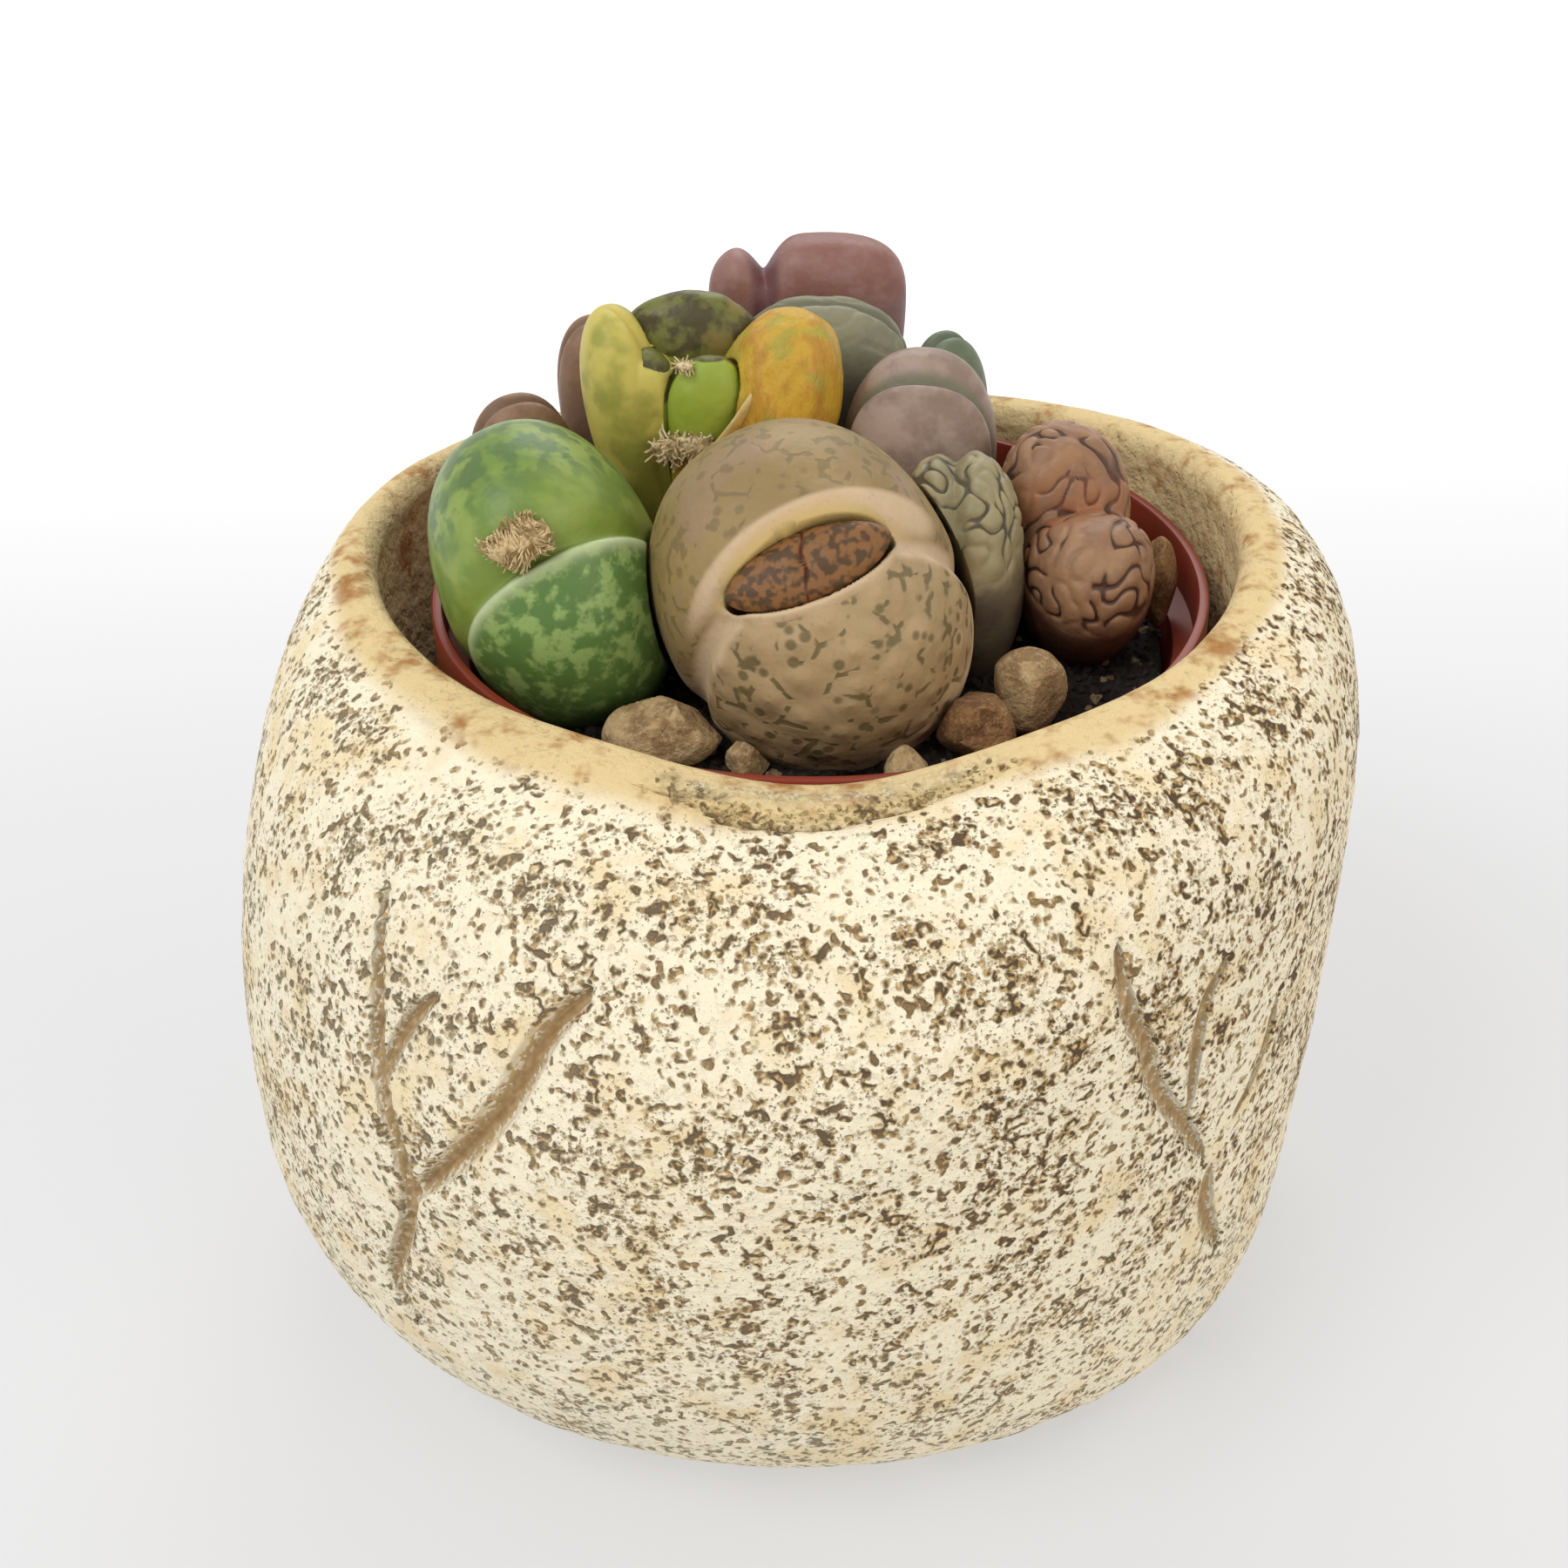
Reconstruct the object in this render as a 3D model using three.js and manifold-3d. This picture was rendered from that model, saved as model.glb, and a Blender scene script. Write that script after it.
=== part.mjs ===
// A group of lithops (living-stone succulents) crowded into a thin plastic nursery pot,
// which stands inside a small cast pot shaped and pitted like a boulder.
// Millimetres, +Z up, the foot on z = 0, the side with the worn dip in the rim towards -Y.
import * as THREE from "three";
import { mergeVertices } from "three/addons/utils/BufferGeometryUtils.js";
import Module from "manifold-3d";

const wasm = await Module();
wasm.setup();
const { PI, sin, cos, sqrt, abs, exp, min, max, hypot, sign } = Math;
const rad = (deg) => (deg * PI) / 180;
const lerp = (a, b, t) => a + (b - a) * t;

// ---------------------------------------------------------------- driving dimensions
const GAP = 0.3; // air left between pieces that rest on each other
const CENTRE = [1.4, 2.6]; // where the pot's own axis stands in the part's frame

// The boulder's outline, as waves round its axis: mean, cos, sin, cos 2, sin 2, cos 3, sin 3.
const WIDEST_RADIUS = [40.3, -1.1, -3.0, -1.7, 2.0, 0.2, -0.5];
const WIDEST_HEIGHT = [29, 11.5, -5.5]; // the belly hangs low on the left and rises to the right
const FOOT_RADIUS = [31.2, 4.1, -1.1];
const CREST_HEIGHT = [52.6, 0.8, -0.15, 1.4, -0.1];
const MOUTH_RADIUS = [28.55, -0.6, 1.7, 0.6, -0.9];
const CREST_WEAR = [
  // angle, half-width in degrees, rise
  [-90, 14, -0.55],
  [-120, 16, 0.55],
  [-62, 14, 0.6],
];
const BELLY_POWER = 2.15; // roundness of the wall below the belly
const SHOULDER_POWER = 2.2; // and above it
const WALL_ROWS = [0, 0.22, 0.42, 0.6, 0.8, 1, 1.2, 1.38, 1.54, 1.7, 1.83, 1.93, 2]; // way up the wall
const LIP = 1.4; // radius of the mouth's inner edge
const POT_FLOOR = 5;
const DRAIN_RADIUS = 3.5;
const POT_SIDES = 54;

// Cracks in the boulder: points as [angle, way up the wall], half-width and depth.
// The way up the wall is 0 at the foot, 1 at the belly and 2 on the crest.
const CRACKS = [
  {
    path: [[-130, 1.57], [-127.3, 1.37], [-126, 1.23], [-123.1, 1.04], [-126.4, 0.88], [-125, 0.78]],
    half: 0.6,
    deep: 0.9,
  },
  { path: [[-121.5, 1.41], [-124, 1.32], [-125.8, 1.22]], half: 0.5, deep: 0.6 },
  {
    path: [[-107.5, 1.51], [-111.2, 1.395], [-114.2, 1.24], [-118, 1.13], [-122.6, 1.04]],
    half: 0.85,
    deep: 1,
  },
  { path: [[-66.2, 1.32], [-65.5, 1.12], [-62.5, 0.96], [-57, 0.85], [-53, 0.77]], half: 0.6, deep: 0.6 },
  { path: [[-54, 1.05], [-57, 0.97], [-56.8, 0.87]], half: 0.5, deep: 0.5 },
  { path: [[-51.8, 0.745], [-50.8, 0.665], [-46.5, 0.55]], half: 0.7, deep: 0.6 },
  { path: [[-43.5, 0.92], [-45.2, 0.845], [-49, 0.79]], half: 0.5, deep: 0.5 },
  {
    path: [[-112, 1.93], [-101, 1.89], [-94, 1.86], [-86, 1.86], [-78, 1.9], [-67, 1.93]],
    half: 0.7,
    deep: 0.45,
  },
];

// The thin nursery pot: radii of its foot, of its wall's top and of the ring round its mouth.
const NURSERY = {
  at: [0.5, 0.8], foot: 19, wallTop: 25.4, ring: 26.75,
  bottom: POT_FLOOR + GAP, top: 50, ringHeight: 4, wall: 0.8,
};
const NURSERY_SIDES = 42;
const SOIL_TOP = 45;
const SOIL_SIDES = 32;

// The heads. foot and tip give the axis from the soil to the crown, turn is the way the fissure runs,
// long is measured along the fissure and wide across it. neck is the foot's share of the full width,
// shoulder the share of the height where the flank ends and the dome starts. cleft is the fissure's
// depth and cleftHalf its half-width, offset moves it off the middle, splay opens the two leaves,
// lift raises the far one; skew and bow bend the fissure. relief and pitch are the depth and spacing
// of the wandering furrows.
const HEADS = {
  centre_head: {
    foot: [0.8, -0.8], tip: [-1.4, -17.6, 61.4], turn: 34, long: 19.6, wide: 23.2,
    neck: 0.56, shoulder: 0.45, dome: 2.15, plan: 2.2,
    cleft: 0.9, cleftHalf: 1.3, notch: 0.04, offset: -0.85, skew: -0.04, bow: -0.022, splay: 0, lift: 1,
    relief: 0.12, pitch: 3.6, colour: "#a59a78", around: 38, flank: 4, crown: 10,
  },
  green_head: {
    foot: [-16.4, 1], tip: [-18.1, -11.8, 61.4], turn: 26, long: 15, wide: 20.8,
    neck: 0.44, shoulder: 0.45, dome: 2.1, plan: 2.2,
    cleft: 1.6, cleftHalf: 1.1, notch: 0.05, offset: -2.8, skew: 0.08, splay: 0, lift: 1,
    relief: 0.05, pitch: 4, colour: "#4f8040", around: 34, flank: 4, crown: 9,
  },
  pink_head: {
    foot: [18.2, 3.6], tip: [17.7, -3.4, 58.4], turn: 11, long: 9.8, wide: 16.4,
    neck: 0.6, shoulder: 0.58, dome: 2.3, plan: 2.2,
    cleft: 3, cleftHalf: 1.8, notch: 0.18, offset: 0, splay: 0.7, lift: 0,
    relief: 0.32, pitch: 3.2, colour: "#94695a", around: 38, flank: 4, crown: 10,
  },
  grey_green_head: {
    foot: [10.8, -2], tip: [9.2, -3.6, 60.4], turn: 84, long: 12, wide: 9,
    neck: 0.6, shoulder: 0.5, dome: 2.2, plan: 2.2,
    cleft: 1.2, cleftHalf: 0.9, notch: 0.08, offset: 0, splay: 0, lift: 0,
    relief: 0.32, pitch: 3.4, colour: "#6f7460", around: 34, flank: 4, crown: 8,
  },
  mauve_head: {
    foot: [7.4, 10], tip: [8, 5.9, 63.3], turn: -6, long: 11, wide: 10.4,
    neck: 0.55, shoulder: 0.55, dome: 2.2, plan: 2.3,
    cleft: 1.4, cleftHalf: 0.8, notch: 0.08, offset: -1.2, splay: 0, lift: 0.6,
    relief: 0.08, pitch: 3.4, colour: "#86757a", around: 24, flank: 4, crown: 6,
  },
  sage_head: {
    foot: [0.9, 15.6], tip: [1.1, 15.4, 64.6], turn: -2, long: 13.4, wide: 6.4,
    neck: 0.7, shoulder: 0.7, dome: 2.3, plan: 2.4,
    cleft: 0.9, cleftHalf: 0.7, notch: 0.06, offset: 0, splay: 0, lift: 0,
    relief: 0.22, pitch: 3.2, colour: "#737a66", around: 30, flank: 4, crown: 6,
  },
  tall_head: {
    foot: [0.3, 21.9], tip: [0.2, 21.9, 66.8], turn: 92, long: 6.2, wide: 14.4,
    neck: 0.66, shoulder: 0.76, dome: 3, plan: 2.5,
    cleft: 2.4, cleftHalf: 1, notch: 0.18, offset: 3.2, splay: 0.3, lift: 0,
    relief: 0.06, pitch: 3.4, colour: "#7b5560", around: 28, flank: 3, crown: 6,
  },
  small_dark_head: {
    foot: [11, 17.6], tip: [10.4, 17.6, 61], turn: 18, long: 5.8, wide: 5.8,
    neck: 0.66, shoulder: 0.62, dome: 2.2, plan: 2.2,
    cleft: 0.8, cleftHalf: 0.6, notch: 0.08, offset: 0, splay: 0, lift: 0,
    relief: 0, pitch: 3, colour: "#4b5c45", around: 16, flank: 4, crown: 4,
  },
  brown_head: {
    foot: [-14.8, 15.6], tip: [-15.4, 16, 63.4], turn: 9, long: 6.4, wide: 5.8,
    neck: 0.6, shoulder: 0.66, dome: 2.3, plan: 2.2,
    cleft: 1, cleftHalf: 0.7, notch: 0.1, offset: 0, splay: 0, lift: 0,
    relief: 0, pitch: 3, colour: "#7d5f45", around: 18, flank: 3, crown: 5,
  },
  low_brown_head: {
    foot: [-19.2, 9.4], tip: [-20.8, 9, 60.2], turn: 19, long: 8, wide: 6,
    neck: 0.5, shoulder: 0.62, dome: 2.2, plan: 2.2,
    cleft: 1, cleftHalf: 0.7, notch: 0.1, offset: 0, splay: 0, lift: 0,
    relief: 0, pitch: 3, colour: "#77573f", around: 18, flank: 3, crown: 5,
  },
};
// The splitting head: a new pair of leaves has burst the old pair apart. The old pair is a base in the
// soil with a lobe on either side; the new pair is one broad leaf behind and two narrow ends in front.
const LOBE = {
  neck: 0.7, shoulder: 0.6, dome: 2.2, plan: 2.2,
  cleft: 0, cleftHalf: 1, notch: 0, offset: 0, splay: 0, lift: 0, relief: 0, pitch: 3,
  around: 15, flank: 2, crown: 5,
};
const OLD_BASE = { ...LOBE, foot: [-7.6, 9.2], tip: [-7.6, 9, 57], turn: 0, long: 10, wide: 8.6 };
const OLD_LOBES = [
  { ...LOBE, foot: [-11, 9.2, 48], tip: [-13.7, 8.2, 66.6], turn: 96, long: 9, wide: 6, neck: 0.5 },
  { ...LOBE, foot: [-5.8, 7.8, 48], tip: [-0.3, 6.9, 66.5], turn: 84, long: 8.8, wide: 8.8, neck: 0.6 },
];
const NEW_LOBES = [
  { ...LOBE, foot: [-8.2, 10.2, 53], tip: [-8.2, 9.8, 67], turn: -4, long: 11, wide: 4.8 },
  { ...LOBE, foot: [-10, 7.8, 53], tip: [-11.2, 6.6, 64.2], turn: 20, long: 4.4, wide: 4.4 },
  { ...LOBE, foot: [-7.3, 6.8, 53], tip: [-6.7, 5, 64.2], turn: 6, long: 5.8, wide: 4 },
];
const OLD_COLOUR = "#a09a35";
const NEW_COLOUR = "#5d6f28";
const STEM_DEPTH = 6; // how far a head's foot goes down into the soil
const NEW_STEM = 1.5; // and the new pair's into the old one, as the old lobes' into their base
// The young pair showing through the window in the centre head.
const WINDOW = { long: 10.8, wide: 4.4, deep: 3.2, along: 0.2, across: -1.3, tilt: -5.5 };
const YOUNG_INSET = 0.8; // how far its crown lies below the window's lip
// The withered flower on the green head: its place on the crown, its size and how spiky it is.
// It sits in the hollow behind the fissure.
const FLOWER = { along: -0.9, across: -2.2, above: 0.8, radius: 1.8, height: 1.8, spikes: 0.5 };

// Pebbles on the soil: place of the middle, the three half-sizes, turn, seed.
const PEBBLES = [
  [-9.8, -16, 47.5, 3.9, 2.6, 2.5, 8, 1],
  [-4.5, -17.6, 46.5, 1.8, 1.4, 1.5, 50, 2],
  [9.9, -15.6, 47.4, 3.4, 2.3, 2.5, 120, 3],
  [13.6, -12.6, 48.0, 2.7, 2.4, 3.0, 20, 4],
  [5.4, -20.2, 46.9, 1.7, 1.4, 1.7, 80, 5],
  [24.0, 0.6, 48.9, 1.5, 1.9, 3.4, 0, 6],
  [20.0, 11.8, 47.0, 2.2, 1.8, 1.8, 70, 9],
  [-7.5, 20.6, 46.9, 2.2, 1.7, 1.7, 110, 10],
  [14.6, 14.4, 46.9, 1.8, 1.5, 1.7, 10, 11],
];

// ---------------------------------------------------------------- solids
const solidOf = (geometry) => {
  const g = geometry.clone();
  g.deleteAttribute("normal");
  g.deleteAttribute("uv");
  const m = mergeVertices(g, 1e-4);
  const make = (triVerts) =>
    new wasm.Manifold(new wasm.Mesh({ numProp: 3, vertProperties: m.attributes.position.array, triVerts }));
  const faces = new Uint32Array(m.index.array);
  const solid = make(faces);
  if (solid.volume() > 0) return solid;
  for (let i = 0; i < faces.length; i += 3) [faces[i], faces[i + 1]] = [faces[i + 1], faces[i]];
  return make(faces);
};
const geometryOf = (solid) => {
  const m = solid.getMesh();
  const g = new THREE.BufferGeometry();
  const xyz = new Float32Array(m.numVert * 3);
  for (let i = 0; i < m.numVert; i++)
    for (let k = 0; k < 3; k++) xyz[3 * i + k] = m.vertProperties[m.numProp * i + k];
  g.setAttribute("position", new THREE.BufferAttribute(xyz, 3));
  g.setIndex(new THREE.BufferAttribute(new Uint32Array(m.triVerts), 1));
  return g;
};

// A skin over rows of points. A ring of rows closes on itself; otherwise both ends are capped.
function loft(rows, ring) {
  const n = rows[0].length;
  const xyz = rows.flat(2);
  const faces = [];
  const last = ring ? rows.length : rows.length - 1;
  for (let i = 0; i < last; i++)
    for (let j = 0; j < n; j++) {
      const a = i * n + j;
      const b = i * n + ((j + 1) % n);
      const c = ((i + 1) % rows.length) * n + j;
      const d = ((i + 1) % rows.length) * n + ((j + 1) % n);
      faces.push(a, b, d, a, d, c);
    }
  if (!ring)
    for (const [row, flip] of [[0, true], [rows.length - 1, false]]) {
      const mid = [0, 1, 2].map((k) => rows[row].reduce((s, p) => s + p[k], 0) / n);
      const m = xyz.length / 3;
      xyz.push(...mid);
      for (let j = 0; j < n; j++) {
        const a = row * n + j;
        const b = row * n + ((j + 1) % n);
        faces.push(...(flip ? [b, a, m] : [a, b, m]));
      }
    }
  const g = new THREE.BufferGeometry();
  g.setAttribute("position", new THREE.Float32BufferAttribute(xyz, 3));
  g.setIndex(faces);
  return g;
}

// ---------------------------------------------------------------- the boulder pot
const wave = (w, a) =>
  w.reduce((s, v, i) => s + (i === 0 ? v : v * (i % 2 ? cos : sin)(Math.ceil(i / 2) * a)), 0);
const crestHeight = (a) =>
  wave(CREST_HEIGHT, a) +
  CREST_WEAR.reduce((s, [at, half, rise]) => {
    const d = abs(((a - rad(at) + 3 * PI) % (2 * PI)) - PI);
    return s + rise * exp(-((d / rad(half)) ** 2));
  }, 0);

// Radius and height on the outer wall at angle a, up = 0 at the foot, 1 at the belly, 2 on the crest.
function wallAt(a, up) {
  const belly = wave(WIDEST_RADIUS, a);
  const bellyZ = wave(WIDEST_HEIGHT, a);
  if (up <= 1) {
    const foot = wave(FOOT_RADIUS, a);
    const t = (up * PI) / 2;
    return [
      foot + (belly - foot) * sin(t) ** (2 / BELLY_POWER),
      bellyZ * (1 - max(0, cos(t)) ** (2 / BELLY_POWER)),
    ];
  }
  const crest = wave(MOUTH_RADIUS, a) + LIP;
  const t = ((up - 1) * PI) / 2;
  return [
    crest + (belly - crest) * max(0, cos(t)) ** (2 / SHOULDER_POWER),
    bellyZ + (crestHeight(a) - bellyZ) * sin(t) ** (2 / SHOULDER_POWER),
  ];
}
const around = (a, [r, z]) => [r * cos(a), r * sin(a), z];

function boulder() {
  const rows = [];
  const row = (f) =>
    rows.push(
      [...Array(POT_SIDES).keys()].map((j) => {
        const a = (j / POT_SIDES) * 2 * PI;
        return around(a, f(a));
      }),
    );
  row(() => [DRAIN_RADIUS, 0]);
  row((a) => [wave(FOOT_RADIUS, a) - 4, 0]);
  for (const up of WALL_ROWS) row((a) => wallAt(a, up));
  for (const t of [0.4, 0.75, 1])
    row((a) => [
      wave(MOUTH_RADIUS, a) + LIP * (1 - sin((t * PI) / 2)),
      crestHeight(a) - 1.3 * LIP * (1 - cos((t * PI) / 2)),
    ]);
  row((a) => [wave(MOUTH_RADIUS, a) + 0.3, 46]);
  row((a) => [lerp(wave(MOUTH_RADIUS, a), 25, 0.8), 20]);
  row(() => [24.2, POT_FLOOR + 3]);
  row(() => [22, POT_FLOOR]);
  row(() => [DRAIN_RADIUS, POT_FLOOR]);
  return solidOf(loft(rows, true));
}

// A channel that follows a crack along the wall and runs out to a point at both ends.
function crackCutter({ path, half, deep }) {
  const curve = new THREE.CatmullRomCurve3(path.map(([a, up]) => new THREE.Vector3(rad(a), up, 0)));
  const steps = 3 * (path.length - 1);
  const onWall = (a, up) => new THREE.Vector3(...around(a, wallAt(a, up)));
  const onPath = (t) => {
    const p = curve.getPoint(t);
    return onWall(p.x, p.y);
  };
  const rows = [];
  for (let i = 0; i <= steps; i++) {
    const t = i / steps;
    const { x: a, y: up } = curve.getPoint(t);
    const here = onPath(t);
    const along = onPath(min(1, t + 0.01)).sub(onPath(max(0, t - 0.01))).normalize();
    const side = onWall(a + 0.01, up).sub(here);
    const rise = onWall(a, up + 0.01).sub(here);
    const out = side.cross(rise).normalize();
    const across = along.clone().cross(out).normalize();
    const share = max(0.12, sin(PI * t) ** 0.35);
    const put = (s, h) =>
      here.clone().addScaledVector(across, s * half * share).addScaledVector(out, h).toArray();
    rows.push([put(-1.5, 0.5), put(1.5, 0.5), put(0.45, -deep * share), put(-0.45, -deep * share)]);
  }
  return solidOf(loft(rows, false));
}

// ---------------------------------------------------------------- leaves
// Wandering furrows: equal waves in seven fixed directions, zero along lines that never cross.
function furrows(p, pitch) {
  let s = 0;
  for (let i = 0; i < 7; i++) {
    const z = 1 - (2 * i + 1) / 7;
    const r = sqrt(1 - z * z);
    const a = 2.39996 * i;
    s += cos(((2 * PI) / pitch) * (r * cos(a) * p[0] + r * sin(a) * p[1] + z * p[2]) + 1.7 * (i + 1));
  }
  return s / 2.65;
}
const power = (v, e) => sign(v) * abs(v) ** e;

// Axes of a head: w up its axis, u along the fissure, v across it.
function headFrame(h) {
  const foot = new THREE.Vector3(h.foot[0], h.foot[1], h.foot[2] ?? SOIL_TOP);
  const w = new THREE.Vector3(...h.tip).sub(foot);
  const tall = w.length();
  w.normalize();
  const u = new THREE.Vector3(cos(rad(h.turn)), sin(rad(h.turn)), 0);
  u.addScaledVector(w, -u.dot(w)).normalize();
  return { foot, tall, u, v: w.clone().cross(u), w };
}
const place = ({ foot, u, v, w }, a, b, c) =>
  foot.clone().addScaledVector(u, a).addScaledVector(v, b).addScaledVector(w, c).toArray();

// One head: a stem in the soil, a flank that widens to the shoulder, and a domed crown that a fissure
// parts into two leaves. grow makes the same body that much larger all round.
function headBody(h, grow = 0, coarse = 1, stem = STEM_DEPTH) {
  const frame = headFrame(h);
  const n = max(8, Math.round(h.around * coarse));
  const crown = max(3, Math.round(h.crown * coarse));
  const profile = [[h.neck * 0.9, -(stem + grow) / frame.tall]];
  for (let i = 0; i <= h.flank; i++) {
    const t = i / h.flank;
    profile.push([1 - (1 - h.neck) * (1 - t) ** 1.7, h.shoulder * t]);
  }
  for (let i = 1; i < crown; i++) {
    const t = ((i / crown) * PI) / 2;
    profile.push([cos(t) ** (2 / h.dome), h.shoulder + (1 - h.shoulder) * sin(t) ** (2 / h.dome)]);
  }
  profile.push([0.1, 1]);
  const rows = profile.map(([rho, up]) =>
    [...Array(n).keys()].map((j) => {
      const s = (j / n) * 2 * PI;
      const a = s - 0.15 * sin(2 * s);
      let u = (h.long / 2) * rho * power(cos(a), 2 / h.plan);
      let v = (h.wide / 2) * rho * power(sin(a), 2 / h.plan);
      const middle = h.offset + (h.skew ?? 0) * u + (h.bow ?? 0) * u * u;
      const part = exp(-(((v - middle) / h.cleftHalf) ** 2));
      const high = max(0, up);
      u *= 1 - h.notch * part * min(1, high / h.shoulder);
      const lifted = h.lift * (v / (h.wide / 2)) * high * high;
      let w = frame.tall * up - h.cleft * part * high * high + lifted;
      v += h.splay * sign(v - middle) * (1 - part) * high * high;
      if (h.relief > 0 && up > 0.15) {
        const groove = exp(-((furrows([u, v, w], h.pitch) / 0.45) ** 2));
        const fade = min(1, (up - 0.15) / 0.3);
        const k = 1 - (h.relief * groove * fade) / hypot(u, v, w - 0.45 * frame.tall);
        [u, v, w] = [u * k, v * k, 0.45 * frame.tall + (w - 0.45 * frame.tall) * k];
      }
      const wider = 1 + grow / max(0.5, hypot(u, v));
      const taller = grow * max(0, (up - h.shoulder) / (1 - h.shoulder));
      return place(frame, u * wider, v * wider, w + taller);
    }),
  );
  return solidOf(loft(rows, false));
}

// An almond-shaped body lying in the centre head's fissure, at the place and tilt of its window.
function almond(long, wide, deep, lift) {
  const h = HEADS.centre_head;
  const frame = headFrame(h);
  const tilt = rad(WINDOW.tilt);
  const rows = [];
  const rings = 6;
  for (let i = 0; i <= rings; i++) {
    const t = -PI / 2 + (PI * (i + 0.25)) / (rings + 0.5);
    rows.push(
      [...Array(20).keys()].map((j) => {
        const a = (j / 20) * 2 * PI;
        const p = (long / 2) * cos(t) * cos(a);
        const q = (wide / 2) * cos(t) * power(sin(a), 1.35);
        const u = WINDOW.along + p * cos(tilt) - q * sin(tilt);
        const v = WINDOW.across + p * sin(tilt) + q * cos(tilt);
        return place(frame, u, v, frame.tall - h.cleft + lift + deep * sin(t));
      }),
    );
  }
  return solidOf(loft(rows, false));
}

// ---------------------------------------------------------------- pebbles and the dried flower
const chance = (seed) => {
  const s = sin(seed * 127.1 + 11.7) * 43758.5453;
  return s - Math.floor(s);
};
// A broken pebble: a ball whose sides have been cut back to a few flat faces.
function pebble([x, y, z, a, b, c, turn, seed], grow = 0) {
  const g = new THREE.IcosahedronGeometry(1, 1);
  const p = g.attributes.position;
  const faces = [...Array(7).keys()].map((i) => {
    const up = 1.8 * chance(seed * 9 + i) - 0.9;
    const t = 2 * PI * chance(seed * 17 + i * 3);
    const level = sqrt(1 - up * up);
    return { n: new THREE.Vector3(level * cos(t), level * sin(t), up), d: 0.66 + 0.18 * chance(seed + i) };
  });
  for (let i = 0; i < p.count; i++) {
    const v = new THREE.Vector3().fromBufferAttribute(p, i);
    for (const { n, d } of faces) v.multiplyScalar(min(1, d / max(1e-6, v.dot(n))) || 1);
    const dir = v.clone().normalize();
    v.multiply(new THREE.Vector3(a, b, c)).addScaledVector(dir, grow);
    v.applyAxisAngle(new THREE.Vector3(0, 0, 1), rad(turn));
    p.setXYZ(i, v.x + x, v.y + y, v.z + z);
  }
  return solidOf(g);
}

// The withered flower: a tuft of curled threads grown from a short stalk, made as one spiky lump.
function driedFlower() {
  const frame = headFrame(HEADS.green_head);
  const g = new THREE.IcosahedronGeometry(1, 2);
  const p = g.attributes.position;
  for (let i = 0; i < p.count; i++) {
    const v = new THREE.Vector3().fromBufferAttribute(p, i);
    const spike = 1 + FLOWER.spikes * furrows([v.x * 2, v.y * 2, v.z * 2], 1.3) * (v.z > -0.3 ? 1 : 0.2);
    const flare = v.z < 0 ? 0.55 + 0.45 * (1 + v.z) : 1;
    const at = place(
      frame,
      FLOWER.along + FLOWER.radius * v.x * spike * flare,
      FLOWER.across + FLOWER.radius * 0.8 * v.y * spike * flare,
      frame.tall + FLOWER.above + FLOWER.height * v.z * (v.z > 0 ? 0.75 * spike : 0.95),
    );
    p.setXYZ(i, ...at);
  }
  return solidOf(g);
}

// ---------------------------------------------------------------- nursery pot and soil
function nurseryPot() {
  const { at, foot, wallTop, ring, bottom, top, ringHeight, wall } = NURSERY;
  const section = [
    [0, bottom],
    [foot, bottom],
    [wallTop, top - ringHeight],
    [ring, top - ringHeight],
    [ring, top],
    [ring - wall, top],
    [ring - wall, top - ringHeight + wall],
    [wallTop - wall, top - ringHeight],
    [foot - wall, bottom + wall],
    [0, bottom + wall],
  ].map(([r, z]) => new THREE.Vector2(r, z));
  const lathe = new THREE.LatheGeometry(section, NURSERY_SIDES);
  return solidOf(lathe.rotateX(PI / 2).translate(at[0], at[1], 0));
}

// The soil fills the nursery pot, heaped a little, with a plain hole for each stem and pebble.
function soilBody() {
  const { at, foot, wallTop, bottom, top, ringHeight, wall } = NURSERY;
  const wallAtHeight = (z) => lerp(foot, wallTop, (z - bottom) / (top - ringHeight - bottom));
  const radius = (z) => wallAtHeight(z) - wall - 1.3 * GAP;
  const low = bottom + wall + GAP;
  const row = (share, z, rough) =>
    [...Array(SOIL_SIDES).keys()].map((j) => {
      const a = (j / SOIL_SIDES) * 2 * PI;
      const [x, y] = [share * radius(z) * cos(a), share * radius(z) * sin(a)];
      return [at[0] + x, at[1] + y, z + rough * (0.25 + 0.3 * furrows([x, y, 0], 9))];
    });
  const rows = [row(0.4, low, 0), row(1, low, 0), row(1, SOIL_TOP - 0.6, 0), row(0.93, SOIL_TOP, 0)];
  rows.push(row(0.66, SOIL_TOP, 1), row(0.33, SOIL_TOP, 1));
  let soil = solidOf(loft(rows, false));
  for (const h of [...Object.values(HEADS), OLD_BASE])
    soil = soil.subtract(headBody({ ...h, relief: 0 }, 2.2 * GAP, 0.36));
  for (const p of PEBBLES) soil = soil.subtract(pebble(p, GAP));
  return soil;
}

// ---------------------------------------------------------------- the splitting head and the window
// The old pair is hollowed where the new pair pushes up through it.
const newPair = () =>
  NEW_LOBES.map((h) => headBody(h, 0, 1, NEW_STEM)).reduce((pair, lobe) => pair.add(lobe));
function oldPair() {
  let pair = headBody(OLD_BASE);
  for (const h of OLD_LOBES) pair = pair.add(headBody(h, 0, 1, NEW_STEM));
  for (const h of NEW_LOBES) pair = pair.subtract(headBody(h, 1.5 * GAP, 0.8, NEW_STEM + GAP));
  return pair;
}
const windowCut = () => almond(WINDOW.long, WINDOW.wide, WINDOW.deep, 0);
const youngPair = () =>
  almond(
    WINDOW.long - 4 * GAP,
    WINDOW.wide - 3 * GAP,
    WINDOW.deep - 2 * GAP - YOUNG_INSET / 2,
    -YOUNG_INSET / 2 - GAP / 2,
  );

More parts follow.
